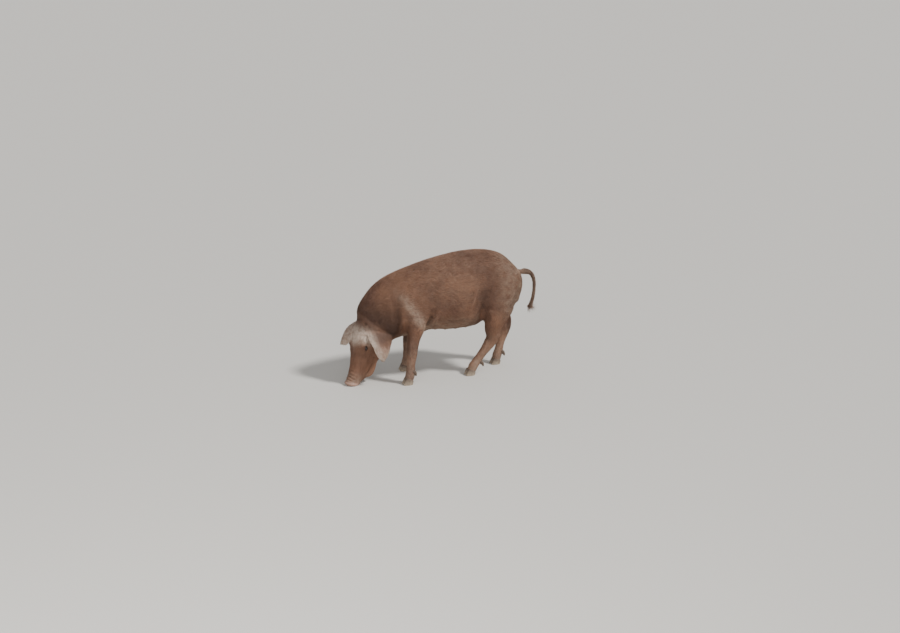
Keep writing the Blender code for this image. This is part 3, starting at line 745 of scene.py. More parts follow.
haired = add_node(hide, "ShaderNodeMath", {"operation": "SUBTRACT"}, _0=1.0, _1=painted(hide, "bare"))
hair = add_node(hide, "ShaderNodeMath", {"operation": "MULTIPLY"}, _0=hair, _1=haired.outputs[0])
hair = hair.outputs[0]
relief = add_node(hide, "ShaderNodeMath", {"operation": "ADD"}, _0=relief.outputs[0], _1=hair)
bump = add_node(hide, "ShaderNodeBump", Height=relief.outputs[0], Strength=0.6,
                Distance=RELIEF_HEIGHT)
streaked = add_node(hide, "ShaderNodeMapRange", Value=hair, From_Min=0.30, From_Max=0.72,
                    To_Min=0.72, To_Max=1.16)
colour = blend_colours(hide, haired.outputs[0], colour, streaked.outputs["Result"], "MULTIPLY")
hide.node_tree.links.new(colour, shader.inputs["Base Color"])
hide.node_tree.links.new(bump.outputs["Normal"], shader.inputs["Normal"])
shader.inputs["Roughness"].default_value = 0.62
shader.inputs["Specular IOR Level"].default_value = 0.35


def paint(mesh, name, values):
    """Keeps one number for each point of a mesh, for its material to read."""
    layer = mesh.attributes.new(name, "FLOAT", "POINT")
    layer.data.foreach_set("value", np.asarray(values, np.float32))


def smooth_step(value, start, end):
    """A soft step, 0 up to the start and 1 from the end on."""
    share = np.clip((value - start) / (end - start), 0, 1)
    return share * share * (3 - 2 * share)


def across_ear(points, name):
    """How far down an ear each place is, and how far from its front edge to its back one."""
    corners = np.array([vert.co for vert in frame["nodes"][name].data.vertices])
    tip = corners[np.argmin(corners[:, 2])]
    top = corners[corners[:, 2] > np.quantile(corners[:, 2], 0.75)]
    front, rear = top[np.argmin(top[:, 0])], top[np.argmax(top[:, 0])]
    root = (front + rear) / 2
    down = (points - root) @ (tip - root) / ((tip - root) @ (tip - root))
    fore_edge = front + np.outer(down, tip - front)
    width = rear - front + np.outer(down, front - rear)
    return down, ((points - fore_edge) * width).sum(1) / np.maximum((width * width).sum(1), 1e-5)


def band(value, centre, spread):
    """A soft band, 1 at its centre and fading out on both sides."""
    return np.exp(-(((value - centre) / spread) ** 2))


MUD_HEIGHT = 0.13


def markings(points, part):
    """How far each marking, painted highlight and painted shade covers each place on the hog, from 0 to 1.

    Places on the body are told from the trunk's own ends and from the floor, and those on the
    head from the line through the eyes.
    """
    head = (points - np.array(eye_line)) @ np.array([to_nose, to_brow, to_left]).T
    low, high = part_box("trunk")
    x, z = points[:, 0], points[:, 2]
    height = z / high.z
    limbs = part["legs"]
    # dry dust lies on the ribs and the shanks; the rump is lightened as painted highlight, and the belly as
    # painted light bounced up from the floor
    ribs = band(x, low.x + 0.27, 0.30) * smooth_step(height, 0.45, 0.7)
    rump = smooth_step(x, high.x - 0.22, high.x - 0.08) * smooth_step(height, 0.35, 0.6)
    # and a painted highlight runs down the upper arm, from the shoulder's point back and down to the elbow
    arm = band(x, low.x + 0.102 + 0.74 * (0.30 - z), 0.026)
    arm *= smooth_step(-z, -0.48, -0.40) * smooth_step(z, 0.22, 0.28)
    arm *= part["trunk"] + limbs + 0.6 * part["neck"]
    belly = part["trunk"] * smooth_step(-height, -0.58, -0.42) * (x < high.x - 0.20)
    shank = smooth_step(-z, -0.28, -0.14) * (limbs + part["feet"])
    dust = np.clip(0.32 * ribs + 1.0 * rump + 1.0 * arm + 0.85 * belly + 0.50 * shank, 0, 1)
    # the pale brow, partly pale hair and partly painted highlight where the forehead meets the light, has a
    # lower edge that wanders, with streaks down the face
    wander = 0.009 * np.sin(75 * head[:, 2] + 40 * head[:, 1]) + 0.006 * np.sin(190 * head[:, 2] + 1.0)
    brow = smooth_step(-head[:, 0] + wander, -0.016, 0.034) * smooth_step(head[:, 1], -0.040, 0.010)
    crown = smooth_step(head[:, 0], -0.122, -0.062)
    # the left ear, which lies flat, carries a painted highlight along its front edge and at its tip and
    # painted shade behind; the other ear is pale, partly as painted highlight
    flap = np.full(len(points), 0.70)
    rear_flap = np.zeros(len(points))
    near = head[:, 2] > 0
    down, across = across_ear(points[near], "ear_left")
    front_edge = smooth_step(-across, -0.52, -0.28)
    flap[near] = np.clip(0.90 * front_edge + 0.60 * smooth_step(down, 0.45, 0.75), 0.05, 0.90)
    flap[near] *= 1 - 0.6 * smooth_step(-down, 0.02, 0.10)
    rear_flap[near] = (1 - front_edge) * smooth_step(-down, -0.55, -0.20)
    # the ears' and the upper arm's pale share is painted highlight in part
    pale = np.clip(0.95 * part["head"] * brow * crown + flap * part["ears"] + 0.18 * arm, 0, 1)
    # mud has dried on the feet and the muzzle
    low_leg = np.clip(1 - z / MUD_HEIGHT, 0, 1) ** 1.3
    muzzle = smooth_step(head[:, 0], 0.105, 0.180) * (np.abs(head[:, 2]) < 0.06)
    mud = np.clip(np.maximum(low_leg * 0.8 * (part["feet"] + limbs), muzzle * 0.7), 0, 1)
    upright = np.clip(limbs + part["feet"] + part["head"] + part["ears"] + part["tail"], 0, 1)
    # painted shade darkens the flank's hollow, the slack behind the elbow, the throat, the poll, the neck
    # behind the ears, the face below the eyes and the back of the left ear; the whole neck and the tail are
    # a little darker too
    hollow = band(x, high.x - 0.262 + 0.10 * (z - 0.30), 0.030) * band(z, 0.33, 0.11) * part["trunk"]
    throat = part["neck"] * smooth_step(-z, -0.46, -0.34)
    elbow = band(x, low.x + 0.135, 0.026) * band(z, 0.275, 0.050) * part["trunk"]
    poll = part["head"] * (1 - crown)
    below_eyes = part["head"] * band(head[:, 0], 0.030, 0.045) * (1 - brow)
    dark = 0.50 * hollow + 0.50 * elbow + 0.30 * throat + 0.14 * part["neck"] + 0.30 * part["tail"]
    behind_ears = part["neck"] * smooth_step(head[:, 0], -0.230, -0.140)
    dark += 0.55 * poll + 0.28 * behind_ears + 0.24 * below_eyes + 0.62 * rear_flap * part["ears"]
    return {"dust": dust, "pale": pale, "mud": mud, "upright": upright,
            "bare": 0.8 * part["snout"], "dark": dark}


# Folds and creases are darkened as painted shade, and so are the fronts of the legs; the lids' rims are
# dark bare skin.
EDGE_ROUNDS = 22
FOLD_ROUNDS = 14
DEEPEST_FOLD = 0.0016
part = region_weights(skin.data, 8)
skin_points = points_of(skin.data)
skin_normals = normals_of(skin.data)
shares = markings(skin_points, part)
for name in ("pale", "dark"):
    shares[name] = relaxed(skin.data, shares[name], EDGE_ROUNDS)
hollow = ((relaxed(skin.data, skin_points, FOLD_ROUNDS) - skin_points) * skin_normals).sum(1)
# the depth of each crease sets how much painted shade it gets
shares["fold"] = np.clip(hollow / DEEPEST_FOLD - 0.25, 0, 1) * 0.65 + shares.pop("dark")
# painted shade on the legs' fronts, which face away from the light
shins = smooth_step(-skin_normals[:, 0], 0.20, 0.95) * part["legs"]
shares["fold"] = np.clip(shares["fold"] + 0.32 * shins, 0, 0.9)
for name, (looks, along, upward) in eyes.items():
    away = skin_points - np.array(middle(name))
    almond, _, _ = almond_at(away, along, upward)
    rim = smooth_step(-almond, -2.6, -1.3) * (np.linalg.norm(away, axis=1) < EYE_RADIUS * 1.3)
    shares["fold"] = np.maximum(shares["fold"], 0.85 * rim * ((away @ np.array(looks)) > 0))
for name, values in shares.items():
    paint(skin.data, name, values)
skin.data.materials.clear()
skin.data.materials.append(hide)
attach(skin, "root")
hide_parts(*FLESH)

# ------------------------------------------------------------------ eyes
# Dark brown eyes, wet and glossy: a ball with a clear dome over the iris, which is drawn in the
# colour, with a black pupil wider than high and a dull white at the corners.
IRIS_SPREAD = 0.62
PUPIL_SPREAD = 0.26
CORNEA_RISE = 0.0007
PUPIL_WIDE, PUPIL_HIGH = 0.8, 1.25
FIBRES_PER_METRE = 700.0
wet_eye, shader = new_material("wet_eyeball")
spread = painted(wet_eye, "off_axis")
place = add_node(wet_eye, "ShaderNodeTexCoord").outputs["Object"]
fibres = add_node(wet_eye, "ShaderNodeTexNoise", Vector=place, Scale=FIBRES_PER_METRE, Detail=3.0)
iris = blend_colours(wet_eye, fibres.outputs["Fac"], linear("#1C0F09"), linear("#3C2214"))
inner = add_node(wet_eye, "ShaderNodeMapRange", Value=spread,
                 From_Min=PUPIL_SPREAD, From_Max=PUPIL_SPREAD + 0.03)
outer = add_node(wet_eye, "ShaderNodeMapRange", Value=spread,
                 From_Min=IRIS_SPREAD, From_Max=IRIS_SPREAD + 0.05)
colour = blend_colours(wet_eye, inner.outputs["Result"], linear("#050302"), iris)
colour = blend_colours(wet_eye, outer.outputs["Result"], colour, linear("#3A2620"))
wet_eye.node_tree.links.new(colour, shader.inputs["Base Color"])
shader.inputs["Roughness"].default_value = 0.12
shader.inputs["Specular IOR Level"].default_value = 0.15
shader.inputs["Coat Weight"].default_value = 0.75
shader.inputs["Coat Roughness"].default_value = 0.03
for name, (looks, along, upward) in eyes.items():
    bpy.ops.object.select_all(action="DESELECT")
    bpy.ops.mesh.primitive_uv_sphere_add(segments=64, ring_count=40, radius=EYE_RADIUS * BALL_SHARE)
    ball = bpy.context.object
    ball.name = ball.data.name = f"{name}_ball"
    points = points_of(ball.data)
    tilt = np.arccos(np.clip(points[:, 2] / (EYE_RADIUS * BALL_SHARE), -1, 1))
    dome = np.clip(1 - (tilt / (IRIS_SPREAD + 0.1)) ** 2, 0, 1)
    points *= (1 + CORNEA_RISE / EYE_RADIUS * dome)[:, None]
    off_axis = np.maximum(np.hypot(points[:, 0], points[:, 1]), 1e-9)
    wide = np.hypot(points[:, 0] * PUPIL_WIDE, points[:, 1] * PUPIL_HIGH) / off_axis
    paint(ball.data, "off_axis", np.where(tilt < PUPIL_SPREAD + 0.1, tilt * wide, tilt))
    frame_of_eye = np.array([along, looks.cross(along), looks])
    put_back(ball.data, points @ frame_of_eye + np.array(middle(name)))
    wake(ball)
    bpy.ops.object.shade_smooth()
    ball.data.materials.append(wet_eye)
    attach(ball, "root")
    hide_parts(name)

# ------------------------------------------------------------------ claws and dewclaws
# Each claw is a capsule of dull horn round a toe, ringed by its growth, worn flat below, and
# dusty towards the tip. It is carried up under the skin, which laps over it at the coronet.
HORN_GRAIN = 0.0009
ROOT_UNDER_SKIN = 0.0055
ROOT_NARROWS_TO = 0.84
DEWCLAW_SET_IN = 0.0016
DEWCLAW_TAPER = 0.35
HORN_SWELL = 0.0004
RING_SPACING = 0.0042
RING_DEPTH = 0.00018
WEAR_LINE = 0.030
horn, shader = new_material("hoof_horn")
place = add_node(horn, "ShaderNodeTexCoord").outputs["Object"]
fibre = add_node(horn, "ShaderNodeMapping", Vector=place, Scale=(500.0, 500.0, 60.0))
fibre = add_node(horn, "ShaderNodeTexNoise", Vector=fibre.outputs[0], Scale=1.0, Detail=2.0)
scuffs = add_node(horn, "ShaderNodeTexNoise", Vector=place, Scale=160.0, Detail=5.0, Roughness=0.7)
low_down = add_node(horn, "ShaderNodeSeparateXYZ", Vector=place).outputs["Z"]
worn = add_node(horn, "ShaderNodeMapRange", Value=low_down, From_Min=WEAR_LINE, From_Max=0.004)
worn = broken_up(horn, worn.outputs["Result"], scuffs.outputs["Fac"], 2.4, -0.55)
colour = blend_colours(horn, fibre.outputs["Fac"], linear("#3A2D25"), linear("#6C5848"))
colour = blend_colours(horn, worn, colour, linear("#A89883"))
relief = add_node(horn, "ShaderNodeMath", {"operation": "MULTIPLY_ADD"},
                  _0=scuffs.outputs["Fac"], _1=0.8, _2=fibre.outputs["Fac"])
bump = add_node(horn, "ShaderNodeBump", Height=relief.outputs[0], Strength=0.35, Distance=0.0005)
rough = add_node(horn, "ShaderNodeMapRange", Value=scuffs.outputs["Fac"], To_Min=0.42, To_Max=0.78)
horn.node_tree.links.new(colour, shader.inputs["Base Color"])
horn.node_tree.links.new(bump.outputs["Normal"], shader.inputs["Normal"])
horn.node_tree.links.new(rough.outputs["Result"], shader.inputs["Roughness"])


def carried_under_skin(piece, way, depth):
    """Draws out the faces that look one way, and narrows them, as a root under the skin."""
    mesh = bmesh.new()
    mesh.from_mesh(piece.data)
    faces = [face for face in mesh.faces if face.normal.dot(way) > 0.86]
    grown = bmesh.ops.extrude_face_region(mesh, geom=faces)["geom"]
    bmesh.ops.delete(mesh, geom=faces, context="FACES_ONLY")
    root = [item for item in grown if isinstance(item, bmesh.types.BMVert)]
    centre = sum((vert.co for vert in root), Vector()) / len(root)
    for vert in root:
        vert.co = centre + (vert.co - centre) * ROOT_NARROWS_TO + way * depth
    mesh.to_mesh(piece.data)
    mesh.free()


for name in [node for node in frame["nodes"] if "claw" in node]:
    claw = body_copy([name], f"{name}_horn")
    foot = middle("_".join(name.split("_")[:2]))
    low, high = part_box(name)
    if name.endswith("dewclaw"):
        inwards = Vector((foot.x - (low.x + high.x) / 2, foot.y - (low.y + high.y) / 2, 0)).normalized()
        points = points_of(claw.data) + np.array(inwards) * DEWCLAW_SET_IN
        down = (high.z - points[:, 2]) / (high.z - low.z)
        for axis in (0, 1):
            core = np.polyval(np.polyfit(down, points[:, axis], 2), down)
            points[:, axis] = core + (points[:, axis] - core) * (1 - DEWCLAW_TAPER * down**2)
        put_back(claw.data, points)
    else:
        carried_under_skin(claw, Vector((0.0, 0.0, 1.0)), ROOT_UNDER_SKIN)
    finish_with(claw, "REMESH", mode="VOXEL", voxel_size=HORN_GRAIN)
    points = relaxed(claw.data, points_of(claw.data), 10)
    put_back(claw.data, points)
    outward = normals_of(claw.data)
    rings = np.sin(2 * math.pi * (points[:, 2] - 0.25 * points[:, 0]) / RING_SPACING)
    wall = np.clip(1 - np.abs(outward[:, 2]) * 1.3, 0, 1)
    points = points + outward * (RING_DEPTH * rings * wall + HORN_SWELL)[:, None]
    points[:, 2] = np.maximum(points[:, 2], 0.0)
    put_back(claw.data, points)
    finish_with(claw, "DECIMATE", ratio=0.5)
    wake(claw)
    bpy.ops.object.shade_smooth()
    claw.data.materials.clear()
    claw.data.materials.append(horn)
    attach(claw, "root")
    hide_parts(name)

# ------------------------------------------------------------------ the coat's lie
# Bristle lies from the snout up the face, back along the neck and the ribs, down the thighs and
# the legs, and along the ears and the tail to their tips. Its tufts start on the skin itself.
def toward(direction):
    """A direction as an array of length 1."""
    return np.array(direction, float) / np.linalg.norm(direction)


def far_tip(name, start):
    """The corner of a solid that lies farthest from a place."""
    corners = [vert.co for vert in frame["nodes"][name].data.vertices]
    return max(corners, key=lambda corner: (corner - start).length).copy()


def lie_of_coat(points, normals, part):
    """The way that the bristle lies at each place, along the skin."""
    trunk_low, trunk_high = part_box("trunk")
    ham = smooth_step(points[:, 0], trunk_high.x - 0.20, trunk_high.x - 0.05)
    arm = smooth_step(points[:, 0], trunk_low.x + 0.20, trunk_low.x + 0.09)
    arm = arm * smooth_step(points[:, 2], 0.36, 0.27)
    back = toward((1, 0, -0.22))
    body = np.outer(1 - ham, back) + np.outer(ham, toward((0.45, 0, -1)))
    body = body * (1 - arm)[:, None] + np.outer(arm, toward((0.5, 0, -0.9)))
    head = (points - np.array(eye_line)) @ np.array([to_nose, to_brow, to_left]).T
    cheek = smooth_step(-head[:, 1], 0.0, 0.06)
    face = -np.array(to_nose)[None, :] - np.outer(0.45 * cheek, np.array(to_brow))
    ears = np.zeros_like(points)
    for name, side in (("ear_left", -1), ("ear_right", 1)):
        tip = far_tip(name, on_head(-0.13, -0.03, 0))
        beyond = tip + (tip - on_head(-0.10, -0.02, -0.04 * side)) * 0.5
        here = head[:, 2] * side < 0
        ears[here] = (np.array(beyond) - points)[here]
    ears /= np.maximum(np.linalg.norm(ears, axis=1), 1e-6)[:, None]
    tail_low, tail_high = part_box("tail")
    drop = smooth_step(points[:, 0], tail_low.x + 0.01, tail_high.x - 0.01)
    tail = np.outer(1 - drop, toward((1, 0, 0.1))) + np.outer(drop, toward((-0.08, 0, -1)))
    lie = body * part["trunk"][:, None] + tail * part["tail"][:, None]
    lie += np.outer(part["neck"], toward((0.86, 0, 0.30)))
    lie += face * (part["head"] + part["snout"] + part["eyes"])[:, None]
    lie += ears * part["ears"][:, None]
    lie += np.outer(part["legs"] + part["feet"], toward((0.14, 0, -1)))
    # long slow waves, as wind and rubbing leave them
    sway = 0.20 * np.sin(9 * points[:, 0] + 13 * points[:, 2]) + 0.14 * np.sin(
        23 * points[:, 0] - 17 * points[:, 1] + 11 * points[:, 2]
    )
    lie += np.cross(normals, lie) * sway[:, None]
    lie -= normals * (lie * normals).sum(1)[:, None]
    return lie / np.maximum(np.linalg.norm(lie, axis=1), 1e-6)[:, None]


skin_lie = relaxed(skin.data, lie_of_coat(skin_points, skin_normals, part), 6)

# the skin's own unwrap, on a copy, gives every tuft its place on the coat's map
unwrap = skin.copy()
unwrap.data = skin.data.copy()
bpy.context.scene.collection.objects.link(unwrap)
wake(unwrap)
bpy.ops.object.mode_set(mode="EDIT")
bpy.ops.mesh.select_all(action="SELECT")
bpy.ops.uv.smart_project(angle_limit=math.radians(66), island_margin=0.001)
bpy.ops.object.mode_set(mode="OBJECT")
unwrap.data.calc_loop_triangles()
triangles = points_of(unwrap.data, "loop_triangles", "vertices").astype(int)
loops = points_of(unwrap.data, "loop_triangles", "loops").astype(int)
loop_places = np.empty(len(unwrap.data.loops) * 2, np.float32)
unwrap.data.uv_layers.active.data.foreach_get("uv", loop_places)
loop_places = loop_places.reshape(-1, 2)
bpy.data.objects.remove(unwrap, do_unlink=True)
skin_tree = BVHTree.FromPolygons([tuple(p) for p in skin_points], triangles.tolist())

# ------------------------------------------------------------------ the coat
# Stiff bristles in flat tufts, each a thin closed blade: short on the face, the ears and the
# feet, longer on the ribs, longest on the crest and at the tail's end. They lie on the skin and
# stand off it by a few millimetres at most.
TUFTS = 136_000
TURN_SPREAD, BEND_SPREAD = 0.13, 0.05
TONE_SPREAD, BORDER_SPREAD = 0.17, 0.24
LEAST_ABOVE_FLOOR = 0.001
# region: tufts' share of the ground, length, width, and how far the tip stands off the skin
COAT = {
    "head": (1.45, 0.0100, 0.00046, 0.0012),
    "snout": (0.10, 0.0050, 0.00040, 0.0008),
    "ears": (1.30, 0.0105, 0.00046, 0.0014),
    "eyes": (0.0, 0.0050, 0.00040, 0.0006),
    "neck": (1.00, 0.0250, 0.00074, 0.0034),
    "trunk": (0.95, 0.0235, 0.00076, 0.0028),
    "legs": (1.25, 0.0145, 0.00060, 0.0018),
    "feet": (1.50, 0.0090, 0.00048, 0.0011),
    "tail": (2.20, 0.0150, 0.00064, 0.0030),
}
# a blade's own place on the coat's map, and how far along the blade each of its corners is
BLADE = np.array([(-1, -1), (0, -1), (1, -1), (-0.8, 0), (0, 0), (0.8, 0), (0, 1)]) * 0.0015
ALONG_BLADE = (0.0, 0.0, 0.0, 0.5, 0.5, 0.5, 1.0)
BLADE_FACES = np.array([
    (0, 3, 4), (0, 4, 1), (1, 4, 5), (1, 5, 2), (2, 5, 3), (2, 3, 0),
    (3, 6, 4), (4, 6, 5), (5, 6, 3), (0, 1, 2),
])


def tuft_mesh(title, roots, middles, tips, ups, widths, places):
    """Joined blades, each closed and three-sided, from a root through a middle to one tip."""
    count = len(roots)
    across = np.cross(tips - roots, ups)
    across /= np.maximum(np.linalg.norm(across, axis=1), 1e-9)[:, None]
    half = across * widths[:, None] / 2
    ridge = ups * widths[:, None] * 0.45
    under = ups * 0.0003
    corners = np.stack([
        roots - half - under, roots + ridge - under, roots + half - under,
        middles - half * 0.85, middles + ridge * 0.85, middles + half * 0.85, tips,
    ], axis=1)
    faces = (BLADE_FACES[None] + 7 * np.arange(count)[:, None, None]).reshape(-1, 3)
    mesh = bpy.data.meshes.new(title)
    mesh.vertices.add(7 * count)
    mesh.vertices.foreach_set("co", corners.astype(np.float32).ravel())
    mesh.loops.add(faces.size)
    mesh.loops.foreach_set("vertex_index", faces.astype(np.int32).ravel())
    mesh.polygons.add(len(faces))
    mesh.polygons.foreach_set("loop_start", np.arange(0, faces.size, 3, dtype=np.int32))
    mesh.update(calc_edges=True)
    spots = (places[:, None, :] + BLADE[None]).reshape(-1, 2)[faces.ravel()]
    mesh.uv_layers.new(name="OFBake")
    mesh.uv_layers["OFBake"].data.foreach_set("uv", spots.astype(np.float32).ravel())
    mesh.polygons.foreach_set("use_smooth", np.ones(len(faces), bool))
    piece = bpy.data.objects.new(title, mesh)
    bpy.context.scene.collection.objects.link(piece)
    return piece


def settled(points, height):
    """Points laid at a height above the skin, under where they hang."""
    found = np.empty_like(points)
    for k, point in enumerate(points):
        spot, normal, _, _ = skin_tree.find_nearest(Vector(point))
        found[k] = spot + normal * height[k]
    return found


chance = np.random.default_rng(20)
ground = sum(part[name] * COAT[name][0] for name in COAT)
ground[skin_points[:, 2] < 0.012] = 0
belly = (skin_normals[:, 2] < -0.5) * part["trunk"]
ground *= 1 - 0.45 * belly
for name, (looks, along, upward) in eyes.items():
    away = skin_points - np.array(middle(name))
    almond, _, _ = almond_at(away, along, upward)
    close = np.linalg.norm(away, axis=1) < EYE_RADIUS * 1.4
    ground *= np.where(close, smooth_step(almond, 2.2, 4.0), 1.0)
sides = skin_points[triangles]
areas = np.linalg.norm(np.cross(sides[:, 1] - sides[:, 0], sides[:, 2] - sides[:, 0]), axis=1) / 2
amount = areas * ground[triangles].mean(1)
reached = np.cumsum(amount) / amount.sum()
home = np.searchsorted(reached, (np.arange(TUFTS) + chance.random(TUFTS)) / TUFTS)
shares_of_corner = np.sqrt(chance.random(TUFTS))
second = chance.random(TUFTS)
weights = np.stack(
    [1 - shares_of_corner, shares_of_corner * (1 - second), shares_of_corner * second], axis=1
)


def at_roots(values):
    """What the skin carries, read where the tufts are rooted."""
    return np.einsum("nk,nk...->n...", weights, values[triangles[home]])


roots, ups, ways = at_roots(skin_points), at_roots(skin_normals), at_roots(skin_lie)
ups /= np.linalg.norm(ups, axis=1)[:, None]
places = np.einsum("nk,nkc->nc", weights, loop_places[loops[home]])
region = {name: at_roots(values) for name, values in part.items()}
length, width, lift = [sum(region[name] * COAT[name][k] for name in COAT) for k in (1, 2, 3)]
# the crest's longer bristles, the brush at the tail's end, and the fringe of the ears
crest = np.exp(-((roots[:, 1] / 0.030) ** 2)) * smooth_step(ups[:, 2], 0.55, 0.8)
crest *= (region["neck"] + region["trunk"]) * smooth_step(-roots[:, 0], -0.10, 0.12)
brush = region["tail"] * smooth_step(-roots[:, 2], -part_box("tail_tip")[1].z, -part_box("tail_tip")[0].z)
length *= (1 + 0.5 * crest + 2.2 * brush) * chance.uniform(0.7, 1.25, TUFTS)
lift *= (1 + 0.9 * crest + 0.8 * brush) * chance.uniform(0.4, 1.3, TUFTS)
width *= chance.uniform(0.75, 1.2, TUFTS)
turned = np.cross(ups, ways)
ways = ways + turned * chance.normal(0, TURN_SPREAD, TUFTS)[:, None]
ways /= np.linalg.norm(ways, axis=1)[:, None]
bent = turned * (chance.normal(0, BEND_SPREAD, TUFTS) * length)[:, None]
middles = roots + ways * (0.5 * length)[:, None] + bent
tips = roots + ways * length[:, None]
free = (0.75 * region["ears"] + 0.9 * brush)[:, None]
middles = settled(middles, 0.55 * lift) * (1 - free) + (middles + ups * 0.55 * lift[:, None]) * free
tips = settled(tips, lift) * (1 - free) + (tips + ups * lift[:, None]) * free
for ends in (tips, middles):
    ends[:, 2] = np.maximum(ends[:, 2], LEAST_ABOVE_FLOOR)

# Bristle: stiff keratin hair, dull with a soft gloss, darker at the root and bleached at the tip.
bristle, shader = new_material("hog_bristle")
colour, place = hide_colour(bristle)
tone = painted(bristle, "tone")
ramp = add_node(bristle, "ShaderNodeMapRange", Value=painted(bristle, "along"), To_Min=0.72, To_Max=1.22)
toned = add_node(bristle, "ShaderNodeMath", {"operation": "MULTIPLY"},
                 _0=tone, _1=ramp.outputs["Result"])
colour = blend_colours(bristle, 1.0, colour, toned.outputs[0], "MULTIPLY")
bristle.node_tree.links.new(colour, shader.inputs["Base Color"])
shader.inputs["Roughness"].default_value = 0.5
shader.inputs["Specular IOR Level"].default_value = 0.4

# Each upper lid carries one row of stiff lashes that sweep up and out.
LASHES = 34
LASH_LENGTH = 0.0085
LASH_WIDTH = 0.00038
LASH_TONE = 0.45
for name, (looks, along, upward) in eyes.items():
    spread_out = np.linspace(-0.80, 0.92, LASHES) + chance.uniform(-0.015, 0.015, LASHES)
    a = spread_out * LID_SPAN
    b = LID_GAP * np.sqrt(np.maximum(1 - np.abs(spread_out) ** 1.7, 0.02)) * 1.12 - LID_SLANT * a
    front = np.sqrt(EYE_RADIUS**2 - a**2 - b**2)
    ways_out = (np.outer(a, along) + np.outer(b, upward) + np.outer(front, looks)) / EYE_RADIUS
    lash_roots = np.array(middle(name)) + ways_out * (EYE_RADIUS * BALL_SHARE + LID_THICKNESS + 0.0004)
    reach = LASH_LENGTH * (1 - 0.35 * spread_out**2) * chance.uniform(0.8, 1.1, LASHES)
    out = ways_out * 0.85 + np.array(upward) * 0.45 + np.outer(spread_out, along) * 0.35
    lash_middles = lash_roots + out * 0.5 * reach[:, None]
    lash_tips = lash_roots + (out + np.array(upward) * 0.30) * reach[:, None]
    lashes = tuft_mesh(f"{name}_lashes", lash_roots, lash_middles, lash_tips, ways_out,
                       np.full(LASHES, LASH_WIDTH), np.stack([spread_out * 0.004 + 0.5, b + 0.5], axis=1))
    for mark in (*shares, "tone"):
        paint(lashes.data, mark, np.full(7 * LASHES, LASH_TONE if mark == "tone" else 0.0))
    paint(lashes.data, "along", np.tile(ALONG_BLADE, LASHES))
    lashes.data.materials.append(bristle)
    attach(lashes, "root")

# The coat's pieces: no two tufts are of quite one tone, and the largest regions are parted.
tones = chance.normal(1.0, TONE_SPREAD, TUFTS).clip(0.6, 1.5)
groups = {
    "face": region["head"] + region["snout"] + region["eyes"],
    "ears": region["ears"], "neck": region["neck"], "trunk": region["trunk"],
    "legs": region["legs"], "feet": region["feet"], "tail": region["tail"],
}
group = np.argmax(np.stack(list(groups.values())), axis=0)
LOIN = 0.06
marks = {name: at_roots(values) for name, values in shares.items()}
# where the pale brow meets the red, pale tufts and red ones stand among each other
border = 4 * marks["pale"] * (1 - marks["pale"])
marks["pale"] = np.clip(marks["pale"] + border * chance.normal(0, BORDER_SPREAD, TUFTS), 0, 1)
for k, group_name in enumerate(groups):
    flanks = (("", np.ones(TUFTS, bool)),)
    if group_name in ("face", "neck", "legs"):
        flanks = (("_left", roots[:, 1] < 0), ("_right", roots[:, 1] >= 0))
    if group_name == "trunk":
        flanks = tuple(
            (f"_{end}_{side}", (rear == (roots[:, 0] > LOIN)) & (right == (roots[:, 1] >= 0)))
            for end, rear in (("fore", False), ("hind", True))
            for side, right in (("left", False), ("right", True))
        )
    for suffix, here in flanks:
        chosen = np.flatnonzero((group == k) & here)
        coat = tuft_mesh(f"coat_{group_name}{suffix}", roots[chosen], middles[chosen], tips[chosen],
                         ups[chosen], width[chosen], places[chosen])
        for name, values in marks.items():
            paint(coat.data, name, np.repeat(values[chosen], 7))
        paint(coat.data, "tone", np.repeat(tones[chosen], 7))
        paint(coat.data, "along", np.tile(ALONG_BLADE, len(chosen)))
        coat.data.materials.append(bristle)
        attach(coat, "root")

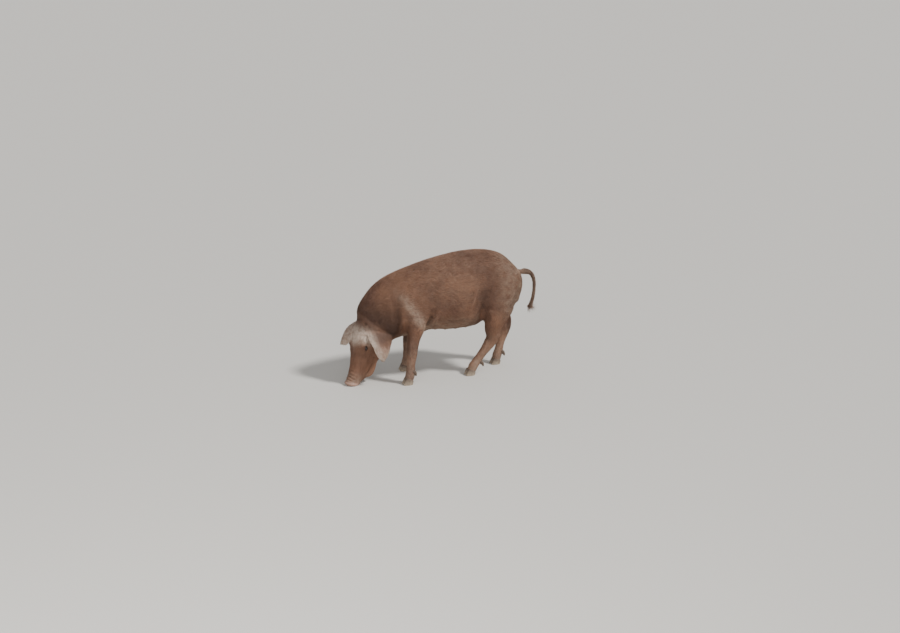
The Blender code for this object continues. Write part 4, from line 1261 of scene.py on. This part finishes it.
# ------------------------------------------------------------------ floor, light and camera
# A plain pale studio floor that runs past all that the camera sees, a sun-like key from high
# towards the tail, a soft low fill from the near side, and the camera a little above the hog.
FLOOR_SIZE = 600.0
WORLD_STRENGTH = 0.64
KEY_STRENGTH, KEY_SPREAD, KEY_PLACE = 3.5, 8.0, (2.7, -2.2, 4.0)
FILL_WATTS, FILL_SIZE, FILL_PLACE = 70, 3.0, (-1.8, -3.5, 1.2)
bpy.ops.object.select_all(action="DESELECT")
bpy.ops.mesh.primitive_plane_add(size=FLOOR_SIZE, location=(0, 0, 0))
floor = bpy.context.object
floor.name = "studio_floor"
pale, shader = new_material("pale_paint")
shader.inputs["Base Color"].default_value = linear("#CFCBC4")
shader.inputs["Roughness"].default_value = 0.85
floor.data.materials.append(pale)

world = bpy.data.worlds.new("studio")
world.use_nodes = True
world.node_tree.nodes["Background"].inputs["Color"].default_value = linear("#E3E4E6")
world.node_tree.nodes["Background"].inputs["Strength"].default_value = WORLD_STRENGTH
bpy.context.scene.world = world


def aimed(lamp, place, aim):
    lamp.location = place
    lamp.rotation_euler = (Vector(aim) - Vector(place)).to_track_quat("-Z", "Y").to_euler()


bpy.ops.object.light_add(type="SUN")
key = bpy.context.object
key.name = "key"
key.data.energy = KEY_STRENGTH
key.data.angle = math.radians(KEY_SPREAD)
aimed(key, KEY_PLACE, (0, 0, 0.2))
bpy.ops.object.light_add(type="AREA")
fill = bpy.context.object
fill.name = "fill"
fill.data.size = FILL_SIZE
fill.data.energy = FILL_WATTS
aimed(fill, FILL_PLACE, (0, 0, 0.3))

CAMERA_TURN = -18.0
CAMERA_RISE = 16.0
CAMERA_DISTANCE = 5.8
CAMERA_LENS, CAMERA_SENSOR = 50.0, 37.37
AIM_BEHIND_FOREFOOT = 0.2445
AIM_HEIGHT = 0.2833
aim = Vector((middle("forefoot_left_outer_claw").x + AIM_BEHIND_FOREFOOT, 0.0002, AIM_HEIGHT))
turn, rise = math.radians(CAMERA_TURN), math.radians(CAMERA_RISE)
back = Vector((math.sin(turn) * math.cos(rise), -math.cos(turn) * math.cos(rise), math.sin(rise)))
bpy.ops.object.camera_add(location=aim + back * CAMERA_DISTANCE)
camera = bpy.context.object
camera.rotation_euler = (-back).to_track_quat("-Z", "Y").to_euler()
camera.data.lens = CAMERA_LENS
camera.data.sensor_width = CAMERA_SENSOR
bpy.context.scene.camera = camera
